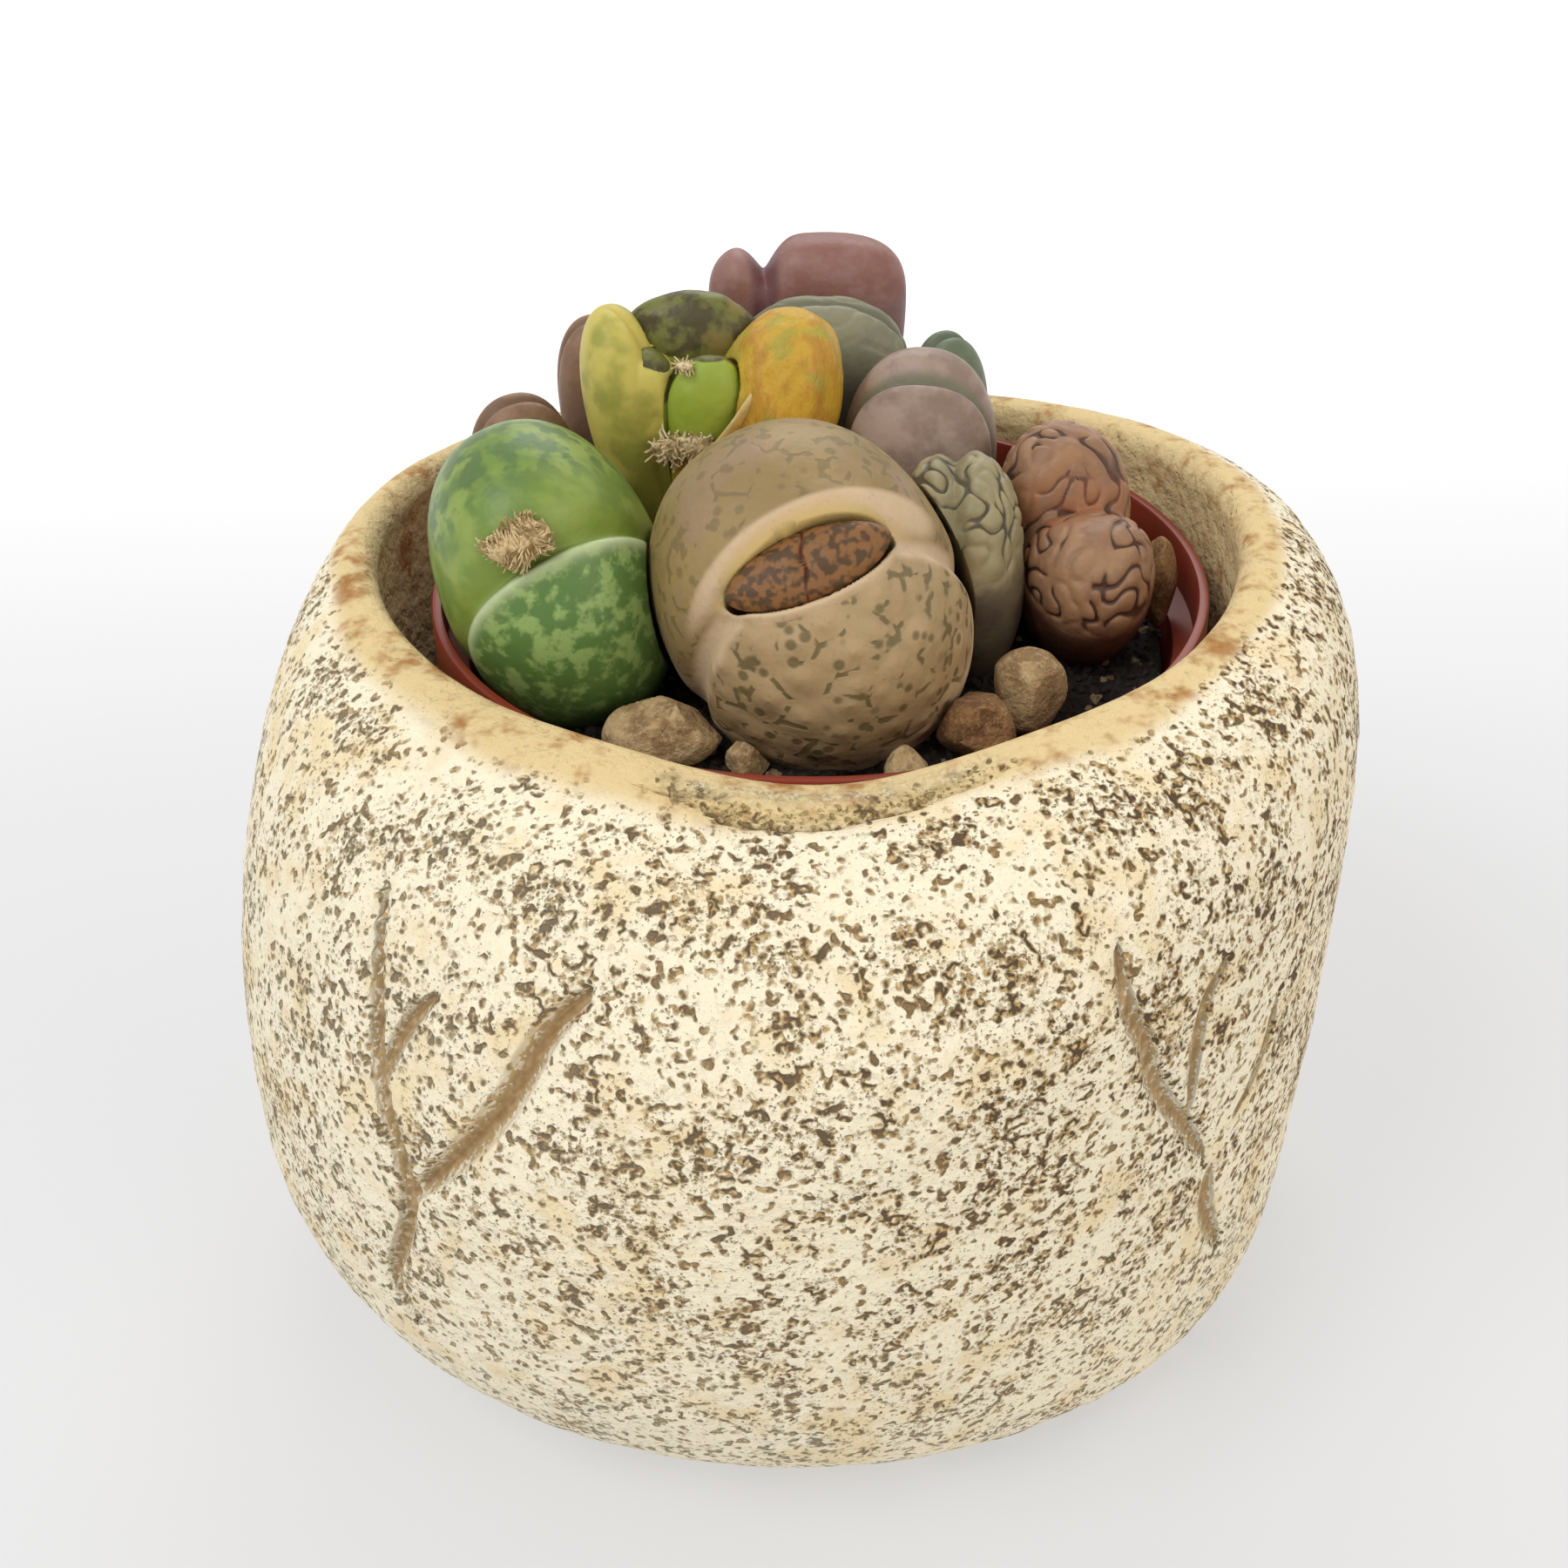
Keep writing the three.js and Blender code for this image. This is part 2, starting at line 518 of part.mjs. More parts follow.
// Crowded heads press flat against their neighbours: each gives way to the ones named here.
const PRESSED_BY = {
  green_head: [HEADS.centre_head],
  grey_green_head: [HEADS.centre_head, HEADS.pink_head],
  mauve_head: [HEADS.grey_green_head, OLD_LOBES[1]],
  sage_head: [OLD_LOBES[1], NEW_LOBES[0]],
  brown_head: [OLD_LOBES[0]],
  low_brown_head: [HEADS.green_head, OLD_LOBES[0]],
};
const roomFor = (h) => headBody({ ...h, relief: 0 }, 1.3 * GAP, 0.8);

// ---------------------------------------------------------------- put together
const group = new THREE.Group();
function add(name, solid, colour, roughness) {
  const mesh = new THREE.Mesh(
    geometryOf(solid.translate([CENTRE[0], CENTRE[1], 0])),
    new THREE.MeshStandardMaterial({ color: colour, roughness, metalness: 0 }),
  );
  mesh.name = name;
  group.add(mesh);
}

add("stone_pot", CRACKS.reduce((pot, crack) => pot.subtract(crackCutter(crack)), boulder()), "#e3d5ae", 0.85);
add("nursery_pot", nurseryPot(), "#9c3a24", 0.5);
add("soil", soilBody(), "#33261d", 1);
for (const [name, h] of Object.entries(HEADS)) {
  let body = headBody(h);
  if (name === "centre_head") body = body.subtract(windowCut());
  for (const other of PRESSED_BY[name] ?? []) body = body.subtract(roomFor(other));
  add(name, body, h.colour, 0.6);
}
add("young_pair", youngPair(), "#a2705a", 0.6);
add("splitting_head_old_leaves", oldPair(), OLD_COLOUR, 0.6);
add("splitting_head_new_leaves", newPair(), NEW_COLOUR, 0.55);
add("dried_flower", driedFlower(), "#8a7250", 0.9);
PEBBLES.forEach((p, i) => {
  const leansOnHead = i < 3;
  const stone = leansOnHead ? pebble(p).subtract(roomFor(HEADS.centre_head)) : pebble(p);
  add(`pebble_${i + 1}`, stone, i % 3 === 2 ? "#a07c52" : "#a8977a", 0.9);
});

export default group;
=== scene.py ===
"""A crowd of living-stone succulents in a thin nursery pot, inside a small pot cast like a boulder."""
from functools import partial
from math import cos, pi, radians, sin

import bpy
import numpy as np
from mathutils import Matrix, Vector


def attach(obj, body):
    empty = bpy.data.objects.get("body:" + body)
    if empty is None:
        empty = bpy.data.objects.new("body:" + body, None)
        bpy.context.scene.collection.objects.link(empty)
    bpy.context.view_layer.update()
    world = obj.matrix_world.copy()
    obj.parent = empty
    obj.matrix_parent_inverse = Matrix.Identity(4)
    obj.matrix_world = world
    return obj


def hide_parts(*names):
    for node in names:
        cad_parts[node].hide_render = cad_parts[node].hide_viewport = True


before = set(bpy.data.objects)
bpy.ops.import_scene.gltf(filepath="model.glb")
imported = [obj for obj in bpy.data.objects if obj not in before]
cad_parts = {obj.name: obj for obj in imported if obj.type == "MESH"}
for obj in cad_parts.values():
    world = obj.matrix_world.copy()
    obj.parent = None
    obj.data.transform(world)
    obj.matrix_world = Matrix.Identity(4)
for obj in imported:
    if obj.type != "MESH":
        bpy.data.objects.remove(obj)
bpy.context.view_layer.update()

# ---------------------------------------------------------------- driving dimensions, in millimetres
MM = 0.001
GAP = 0.3  # air left between pieces that rest on each other
CLEAR = 1.3 * GAP  # air beside a head that gives way, and round the soil
CENTRE = np.array([1.4, 2.6, 0.0])  # where the pot's own axis stands

# The boulder's outline, as waves round its axis: mean, cos, sin, cos 2, sin 2, cos 3, sin 3.
WIDEST_RADIUS = [40.3, -1.1, -3.0, -1.7, 2.0, 0.2, -0.5]
WIDEST_HEIGHT = [29, 11.5, -5.5]
FOOT_RADIUS = [31.2, 4.1, -1.1]
CREST_HEIGHT = [52.6, 0.8, -0.15, 1.4, -0.1]
MOUTH_RADIUS = [28.55, -0.6, 1.7, 0.6, -0.9]
CREST_WEAR = [(-90, 14, -0.55), (-120, 16, 0.55), (-62, 14, 0.6)]  # angle, half-width, rise
BELLY_POWER, SHOULDER_POWER = 2.15, 2.2
LIP = 1.4  # how far the rim rolls in
POT_FLOOR, DRAIN_RADIUS = 5, 3.5
NECK_HEIGHT, INSIDE_FOOT = 46, 25  # where the mouth's straight wall ends, and the radius it narrows to
STONE_AROUND, STONE_UP = 556, 150  # points round the wall and up it

# Cracks: points as (angle, way up the wall), half-width and depth; 0 is the foot, 1 the belly, 2 the crest.
CRACKS = [
    ([(-130, 1.57), (-127.3, 1.37), (-126, 1.23), (-123.1, 1.04), (-126.4, 0.88), (-125, 0.78)], 0.6, 0.9),
    ([(-121.5, 1.41), (-124, 1.32), (-125.8, 1.22)], 0.5, 0.6),
    ([(-108.6, 1.47), (-111.2, 1.395), (-114.2, 1.24), (-118, 1.13), (-122.6, 1.04)], 0.8, 1.1),
    ([(-66.2, 1.32), (-65.5, 1.12), (-62.5, 0.96), (-57, 0.85), (-53, 0.77)], 0.6, 0.6),
    ([(-54, 1.05), (-57, 0.97), (-56.8, 0.87)], 0.5, 0.5),
    ([(-51.8, 0.745), (-50.8, 0.665), (-46.5, 0.55)], 0.7, 0.6),
    ([(-43.5, 0.92), (-45.2, 0.845), (-49, 0.79)], 0.5, 0.5),
]
RIM_CREVICE = (
    [
        (-112, 1.935), (-105, 1.925), (-99, 1.88), (-95, 1.885),
        (-91, 1.88), (-85, 1.9), (-79, 1.91), (-68, 1.93),
    ],
    0.5, 0.45,
)

NURSERY = dict(at=(0.5, 0.8), foot=19, wall_top=25.4, ring=26.75, bottom=5.3, top=50, ring_height=4, wall=0.8)
SOIL_TOP = 45
STEM_DEPTH, NEW_STEM = 6, 1.5  # how far a head, and a lobe of the splitting head, goes below its foot

# The heads, as in the part: axis from foot to tip, the way the fissure runs, length along it and width
# across it, then the shares and depths that shape the flank, the dome and the fissure. Whatever a head
# doesn't name is as on a plain leaf. ledge lets the front leaf stand up to a sharp edge at the fissure,
# and brow keeps that edge straight.
PLAIN_LEAF = dict(
    neck=0.7, shoulder=0.6, dome=2.2, plan=2.2, cleft=0, cleft_half=1, notch=0,
    offset=0, skew=0, bow=0, splay=0, lift=0, ledge=0, brow=0,
)
HEADS = {
    "centre_head": dict(
        foot=(0.8, -0.8), tip=(-1.4, -17.6, 61.4), turn=34, long=19.6, wide=23.2,
        neck=0.56, shoulder=0.45, dome=2.15,
        cleft=0.9, cleft_half=1.3, notch=0.07, offset=-0.85, skew=-0.04, bow=-0.022,
        lift=1, ledge=0.7,
    ),
    "green_head": dict(
        foot=(-16.4, 1), tip=(-18.1, -11.8, 61.4), turn=26, long=15, wide=20.8,
        neck=0.44, shoulder=0.45, dome=2.1,
        cleft=1.6, cleft_half=1.1, notch=0.05, offset=-2.8, skew=0.08, lift=1,
        ledge=1, brow=2.2,
    ),
    "pink_head": dict(
        foot=(18.2, 3.6), tip=(17.7, -3.4, 58.4), turn=11, long=9.8, wide=16.4,
        neck=0.6, shoulder=0.58, dome=2.3,
        cleft=3, cleft_half=1.8, notch=0.18, splay=0.7,
    ),
    "grey_green_head": dict(
        foot=(10.8, -2), tip=(9.2, -3.6, 60.4), turn=84, long=12, wide=9,
        neck=0.6, shoulder=0.5,
        cleft=1.2, cleft_half=0.9, notch=0.08,
    ),
    "mauve_head": dict(
        foot=(7.4, 10), tip=(8, 5.9, 63.3), turn=-6, long=11, wide=10.4,
        neck=0.55, shoulder=0.55, plan=2.3,
        cleft=1.4, cleft_half=0.8, notch=0.08, offset=-1.2, lift=0.6,
        ledge=1, brow=1.2,
    ),
    "sage_head": dict(
        foot=(0.9, 15.6), tip=(1.1, 15.4, 64.6), turn=-2, long=13.4, wide=6.4,
        shoulder=0.7, dome=2.3, plan=2.4,
        cleft=0.9, cleft_half=0.7, notch=0.06,
    ),
    "tall_head": dict(
        foot=(0.3, 21.9), tip=(0.2, 21.9, 66.8), turn=92, long=6.2, wide=14.4,
        neck=0.66, shoulder=0.76, dome=3, plan=2.5,
        cleft=2.4, notch=0.18, offset=3.2, splay=0.3,
    ),
    "small_dark_head": dict(
        foot=(11, 17.6), tip=(10.4, 17.6, 61), turn=18, long=5.8, wide=5.8,
        neck=0.66, shoulder=0.62,
        cleft=0.8, cleft_half=0.6, notch=0.08,
    ),
    "brown_head": dict(
        foot=(-14.8, 15.6), tip=(-15.4, 16, 63.4), turn=9, long=6.4, wide=5.8,
        neck=0.6, shoulder=0.66, dome=2.3,
        cleft=1, cleft_half=0.7, notch=0.1,
    ),
    "low_brown_head": dict(
        foot=(-19.2, 9.4), tip=(-20.8, 9, 60.2), turn=19, long=8, wide=6,
        neck=0.5, shoulder=0.62,
        cleft=1, cleft_half=0.7, notch=0.1,
    ),
}
# The splitting head, also as in the part: the old pair's base and two lobes, and the new pair between.
OLD_PAIR = {
    "old_base": dict(foot=(-7.6, 9.2), tip=(-7.6, 9, 57), turn=0, long=10, wide=8.6),
    "old_left": dict(foot=(-11, 9.2, 48), tip=(-13.7, 8.2, 66.6), turn=96, long=9, wide=6, neck=0.5),
    "old_right": dict(foot=(-5.8, 7.8, 48), tip=(-0.3, 6.9, 66.5), turn=84, long=8.8, wide=8.8, neck=0.6),
}
NEW_PAIR = {
    "new_back": dict(foot=(-8.2, 10.2, 53), tip=(-8.2, 9.8, 67), turn=-4, long=11, wide=4.8),
    "new_left": dict(foot=(-10, 7.8, 53), tip=(-11.2, 6.6, 64.2), turn=20, long=4.4, wide=4.4),
    "new_right": dict(foot=(-7.3, 6.8, 53), tip=(-6.7, 5, 64.2), turn=6, long=5.8, wide=4),
}
LEAVES = {name: {**PLAIN_LEAF, **own} for name, own in {**HEADS, **OLD_PAIR, **NEW_PAIR}.items()}
# Which heads give way where they press against a neighbour.
PRESSED_BY = {
    "green_head": ["centre_head"],
    "grey_green_head": ["centre_head", "pink_head"],
    "mauve_head": ["grey_green_head", "old_right"],
    "sage_head": ["old_right", "new_back"],
    "brown_head": ["old_left"],
    "low_brown_head": ["green_head", "old_left"],
}
WINDOW = dict(long=10.8, wide=4.4, deep=3.2, along=0.2, across=-1.3, tilt=-5.5)
YOUNG_INSET = 0.8  # how far the young pair sits below the lips
FLOWER = dict(along=-0.9, across=-2.2, above=-0.1)

# Pebbles: place of the middle, the three half-sizes, turn, seed. The first three lie under the centre head.
PEBBLES = [
    ((-9.8, -16, 47.5), (3.9, 2.6, 2.5), 8, 1),
    ((-4.5, -17.6, 46.5), (1.8, 1.4, 1.5), 50, 2),
    ((9.9, -15.6, 47.4), (3.4, 2.3, 2.5), 120, 3),
    ((13.6, -12.6, 48.0), (2.7, 2.4, 3.0), 20, 4),
    ((5.4, -20.2, 46.9), (1.7, 1.4, 1.7), 80, 5),
    ((24.0, 0.6, 48.9), (1.5, 1.9, 3.4), 0, 6),
    ((20.0, 11.8, 47.0), (2.2, 1.8, 1.8), 70, 9),
    ((-7.5, 20.6, 46.9), (2.2, 1.7, 1.7), 110, 10),
    ((14.6, 14.4, 46.9), (1.8, 1.5, 1.7), 10, 11),
]
UNDER_CENTRE_HEAD = 3
FLATS = 7  # broken faces on a pebble
PEBBLE_POINTS = (40, 68)  # points up a pebble and round it

# The room: lamps as name, place, what they face, size, watts and tint; the camera's place and angles.
LAMPS = [
    ("window_left", (-0.38, -0.30, 0.62), (0, 0, 0.04), 0.4, 2.3, "#ffffff"),
    ("fill_right", (0.5, -0.45, 0.35), (0, 0, 0.04), 0.5, 1.3, "#fff0d8"),
    ("behind", (0.1, 1.1, 0.9), (0, 0.6, 0), 1.0, 6.0, "#ffffff"),
]
ROOM_LIGHT = 0.7
TABLE_HALF = 1500
CAMERA_PLACE = (-0.0008, -0.1264, 0.1168)  # metres
CAMERA_DOWN, CAMERA_LEAN = 33, 1.05  # degrees
LENS, SENSOR = 48, 36


# ---------------------------------------------------------------- numbers for uneven surfaces
def blend(low, high, x):
    """0 below low, 1 above high, smooth between."""
    t = np.clip((x - low) / (high - low), 0, 1)
    return t * t * (3 - 2 * t)


def chance(cell, seed):
    """A repeatable number from 0 to 1 for each whole-number cell."""
    n = cell[..., 0] * 73856093 ^ cell[..., 1] * 19349663 ^ cell[..., 2] * 83492791 ^ seed * 40503
    n = (n ^ n >> 13) * 1274126177 & 0xFFFFFFFF
    return ((n ^ n >> 16) & 0xFFFF) / 65535


def grain(p, size, seed):
    """Soft lumps of the given size, from 0 to 1."""
    q = p / size
    cell = np.floor(q).astype(np.int64)
    f = q - cell
    f = f * f * (3 - 2 * f)
    total = 0
    for step in np.ndindex(2, 2, 2):
        weight = np.prod([f[..., k] if step[k] else 1 - f[..., k] for k in range(3)], axis=0)
        total = total + weight * chance(cell + np.array(step), seed)
    return total


def rough(p, size, seed, layers=3):
    """Lumps on lumps: each layer half the size and half the height of the last."""
    parts = [grain(p, size / 2**i, seed + 7 * i) / 2**i for i in range(layers)]
    return sum(parts) / (2 - 0.5 ** (layers - 1))


GOLDEN_TURN = 2.39996  # spreads directions evenly over a ball


def furrows(p, pitch):
    """Wandering waves of equal length in seven directions; their zero lines are the furrows."""
    total = 0
    for i in range(7):
        z = 1 - (2 * i + 1) / 7
        r = (1 - z * z) ** 0.5
        a = GOLDEN_TURN * i
        along = r * cos(a) * p[..., 0] + r * sin(a) * p[..., 1] + z * p[..., 2]
        total = total + np.cos(2 * pi / pitch * along + 1.7 * (i + 1))
    return total / 2.65


# ---------------------------------------------------------------- meshes
def turns(count):
    """Equal steps round a full turn."""
    return np.linspace(0, 2 * pi, count, endpoint=False)


def ring(r, a, z, middle=(0, 0)):
    """A row of points round a middle."""
    return np.stack([middle[0] + r * np.cos(a), middle[1] + r * np.sin(a), z + 0 * a], -1)


def ball(rows, around, hole):
    """Directions over a whole ball, from bottom to top, with a small hole at either end."""
    t, s = np.linspace(hole, pi - hole, rows)[::-1, None], turns(around)
    return np.stack([np.sin(t) * np.cos(s), np.sin(t) * np.sin(s), np.cos(t) + 0 * s], -1)


def grid_faces(rows, around, closed=False):
    """Four-sided faces over rows of points that go up while each row turns anticlockwise."""
    i, j = np.meshgrid(np.arange(rows if closed else rows - 1), np.arange(around), indexing="ij")
    up, on = (i + 1) % rows, (j + 1) % around
    quads = np.stack([i * around + j, i * around + on, up * around + on, up * around + j], -1)
    return quads.reshape(-1, 4).tolist()


def make_piece(name, points, faces, material, marks=None, sharp=None):
    """A smooth-shaded piece from points in millimetres, with one number per point for each mark."""
    mesh = bpy.data.meshes.new(name)
    mesh.from_pydata((np.asarray(points) * MM).tolist(), [], faces)
    for mark, values in (marks or {}).items():
        mesh.attributes.new(mark, "FLOAT", "POINT").data.foreach_set("value", np.ravel(values).astype("f"))
    mesh.shade_smooth()
    if sharp:
        mesh.set_sharp_from_angle(angle=radians(sharp))
    mesh.materials.append(material)
    piece = bpy.data.objects.new(name, mesh)
    bpy.context.scene.collection.objects.link(piece)
    return piece


def hand_over(piece, node=None):
    """The piece goes with the part, and stands for one of its solids where a node is named."""
    if node:
        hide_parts(node)
    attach(piece, "root")


def finished_piece(name, skin, material, node, sharp=None):
    """A piece from a skin (points, faces and marks, round the pot's axis), handed over for its solid."""
    points, faces, marks = skin
    piece = make_piece(name, points + CENTRE, faces, material, marks, sharp)
    hand_over(piece, node)
    return piece


def closed_rows(rows, marks=None):
    """Points, faces and marks of a skin over the rows (rows x around x 3), with both ends closed."""
    count, around = rows.shape[:2]
    ends = np.stack([rows[0].mean(0), rows[-1].mean(0)])
    points = np.concatenate([rows.reshape(-1, 3), ends])
    faces = grid_faces(count, around)
    bottom, top, last = count * around, count * around + 1, (count - 1) * around
    for j in range(around):
        k = (j + 1) % around
        faces.append([k, j, bottom])
        faces.append([last + j, last + k, top])
    full = {m: np.concatenate([v.ravel(), [v[0].mean(), v[-1].mean()]]) for m, v in (marks or {}).items()}
    return points, faces, full


def facing(rows):
    """Outward directions on a grid of points."""
    on = np.roll(rows, -1, 1) - np.roll(rows, 1, 1)
    up = np.gradient(rows, axis=0)
    n = np.cross(on, up)
    return n / np.maximum(np.linalg.norm(n, axis=-1, keepdims=True), 1e-9)


# ---------------------------------------------------------------- materials
def colour(hex_code):
    """An sRGB hex colour as linear red, green, blue and alpha."""
    srgb = [int(hex_code[i : i + 2], 16) / 255 for i in (1, 3, 5)]
    return (*[c / 12.92 if c <= 0.04045 else ((c + 0.055) / 1.055) ** 2.4 for c in srgb], 1.0)


# Short names for the nodes used below: node, inputs in the order they are given, output, settings.
NODES = {
    "place": ("ShaderNodeTexCoord", (), "Object", {}),
    "mark": ("ShaderNodeAttribute", (), "Fac", {}),
    "noise": ("ShaderNodeTexNoise", ("Vector", "Scale", "Detail", "Roughness", "Distortion"), 0, {}),
    "cells": ("ShaderNodeTexVoronoi", ("Vector", "Scale", "Randomness"), "Distance", {}),
    "step": (
        "ShaderNodeMapRange", ("Value", "From Min", "From Max", "To Min", "To Max"), 0,
        {"interpolation_type": "SMOOTHSTEP"},
    ),
    "range": ("ShaderNodeMapRange", ("Value", "From Min", "From Max", "To Min", "To Max"), 0, {}),
    "mix": ("ShaderNodeMix", (0, 6, 7), 2, {"data_type": "RGBA"}),
    "split": ("ShaderNodeSeparateXYZ", (0,), "Z", {}),
    "bump": ("ShaderNodeBump", ("Height", "Distance", "Strength"), 0, {}),
    "position": ("GeometryNodeInputPosition", (), 0, {}),
    "normal": ("GeometryNodeInputNormal", (), 0, {}),
    "larger": ("FunctionNodeCompare", (0, 1), 0, {"operation": "GREATER_THAN"}),
    "scatter": (
        "GeometryNodeDistributePointsOnFaces", ("Mesh", "Distance Min", "Density Max", "Seed", "Selection"),
        0, {"distribute_method": "POISSON"},
    ),
    "random": ("FunctionNodeRandomValue", (2, 3, "Seed"), 1, {}),
    "random three": ("FunctionNodeRandomValue", (0, 1, "Seed"), 0, {"data_type": "FLOAT_VECTOR"}),
    "store": (
        "GeometryNodeStoreNamedAttribute", ("Geometry", "Name", "Value"), 0,
        {"data_type": "FLOAT", "domain": "POINT"},
    ),
    "ball": ("GeometryNodeMeshIcoSphere", ("Radius", "Subdivisions"), 0, {}),
    "shift": ("GeometryNodeSetPosition", ("Geometry", "Offset"), 0, {}),
    "on points": ("GeometryNodeInstanceOnPoints", ("Points", "Instance", "Rotation", "Scale"), 0, {}),
    "turn": ("GeometryNodeRotateInstances", ("Instances", "Rotation"), 0, {}),
    "real": ("GeometryNodeRealizeInstances", ("Geometry",), 0, {}),
    "dress": ("GeometryNodeSetMaterial", ("Geometry", "Selection", "Material"), 0, {}),
    "line": ("GeometryNodeCurvePrimitiveLine", ("Start", "End"), 0, {}),
    "resample": ("GeometryNodeResampleCurve", ("Curve", "Count"), 0, {}),
    "along": ("GeometryNodeSplineParameter", (), 0, {}),
    "circle": ("GeometryNodeCurvePrimitiveCircle", ("Resolution", "Radius"), 0, {}),
    "thin": ("GeometryNodeSetCurveRadius", ("Curve", "Radius"), 0, {}),
    "tube": ("GeometryNodeCurveToMesh", ("Curve", "Profile Curve", "Fill Caps"), 0, {}),
}
for name, kind, order, operation in (
    ("plus", "", (0, 1), "ADD"),
    ("minus", "", (0, 1), "SUBTRACT"),
    ("times", "", (0, 1), "MULTIPLY"),
    ("scaled", "", (0, 1, 2), "MULTIPLY_ADD"),
    ("either", "", (0, 1), "MAXIMUM"),
    ("size", "", (0,), "ABSOLUTE"),
    ("stretch", "Vector", (0, 1), "MULTIPLY"),
    ("longer", "Vector", (0, "Scale"), "SCALE"),
    ("less", "Vector", (0, 1), "SUBTRACT"),
    ("moved", "Vector", (0, 1, 2), "MULTIPLY_ADD"),
):
    NODES[name] = (f"ShaderNode{kind}Math", order, 0, {"operation": operation})


def add(tree, kind, *values, out=None, **settings):
    """Adds a node, gives it its settings, sets or links its inputs, and gives back one of its outputs.

    A value is another node's output to link, a number or vector, or a colour as hex text."""
    node_type, order, usual, fixed = NODES[kind]
    node = tree.nodes.new(node_type)
    for name, value in {**fixed, **settings}.items():
        setattr(node, name, value)
    sockets = {**dict(enumerate(node.inputs)), **{s.name: s for s in reversed(node.inputs)}}
    for at, value in zip(order, values):
        if isinstance(value, str) and value.startswith("#"):
            value = colour(value)
        if isinstance(value, bpy.types.NodeSocket):
            tree.links.new(value, sockets[at])
        elif value is not None:
            sockets[at].default_value = value
    return node.outputs[usual if out is None else out]


def new_material(name, **uniform):
    """A material with the values that are the same all over set on its shader."""
    material = bpy.data.materials.new(name)
    material.use_nodes = True
    shader = material.node_tree.nodes["Principled BSDF"]
    for socket, value in uniform.items():
        shader.inputs[socket.replace("_", " ")].default_value = value
    put = partial(add, material.node_tree)
    place = put("longer", put("place"), 1 / MM)  # in millimetres
    return material, put, shader, place


def finish(put, shader, skin, height, depth_mm):
    """Joins the colour and the fine relief to the shader."""
    links = shader.id_data.links
    links.new(skin, shader.inputs["Base Color"])
    links.new(put("bump", height, depth_mm * MM, 1.0), shader.inputs["Normal"])


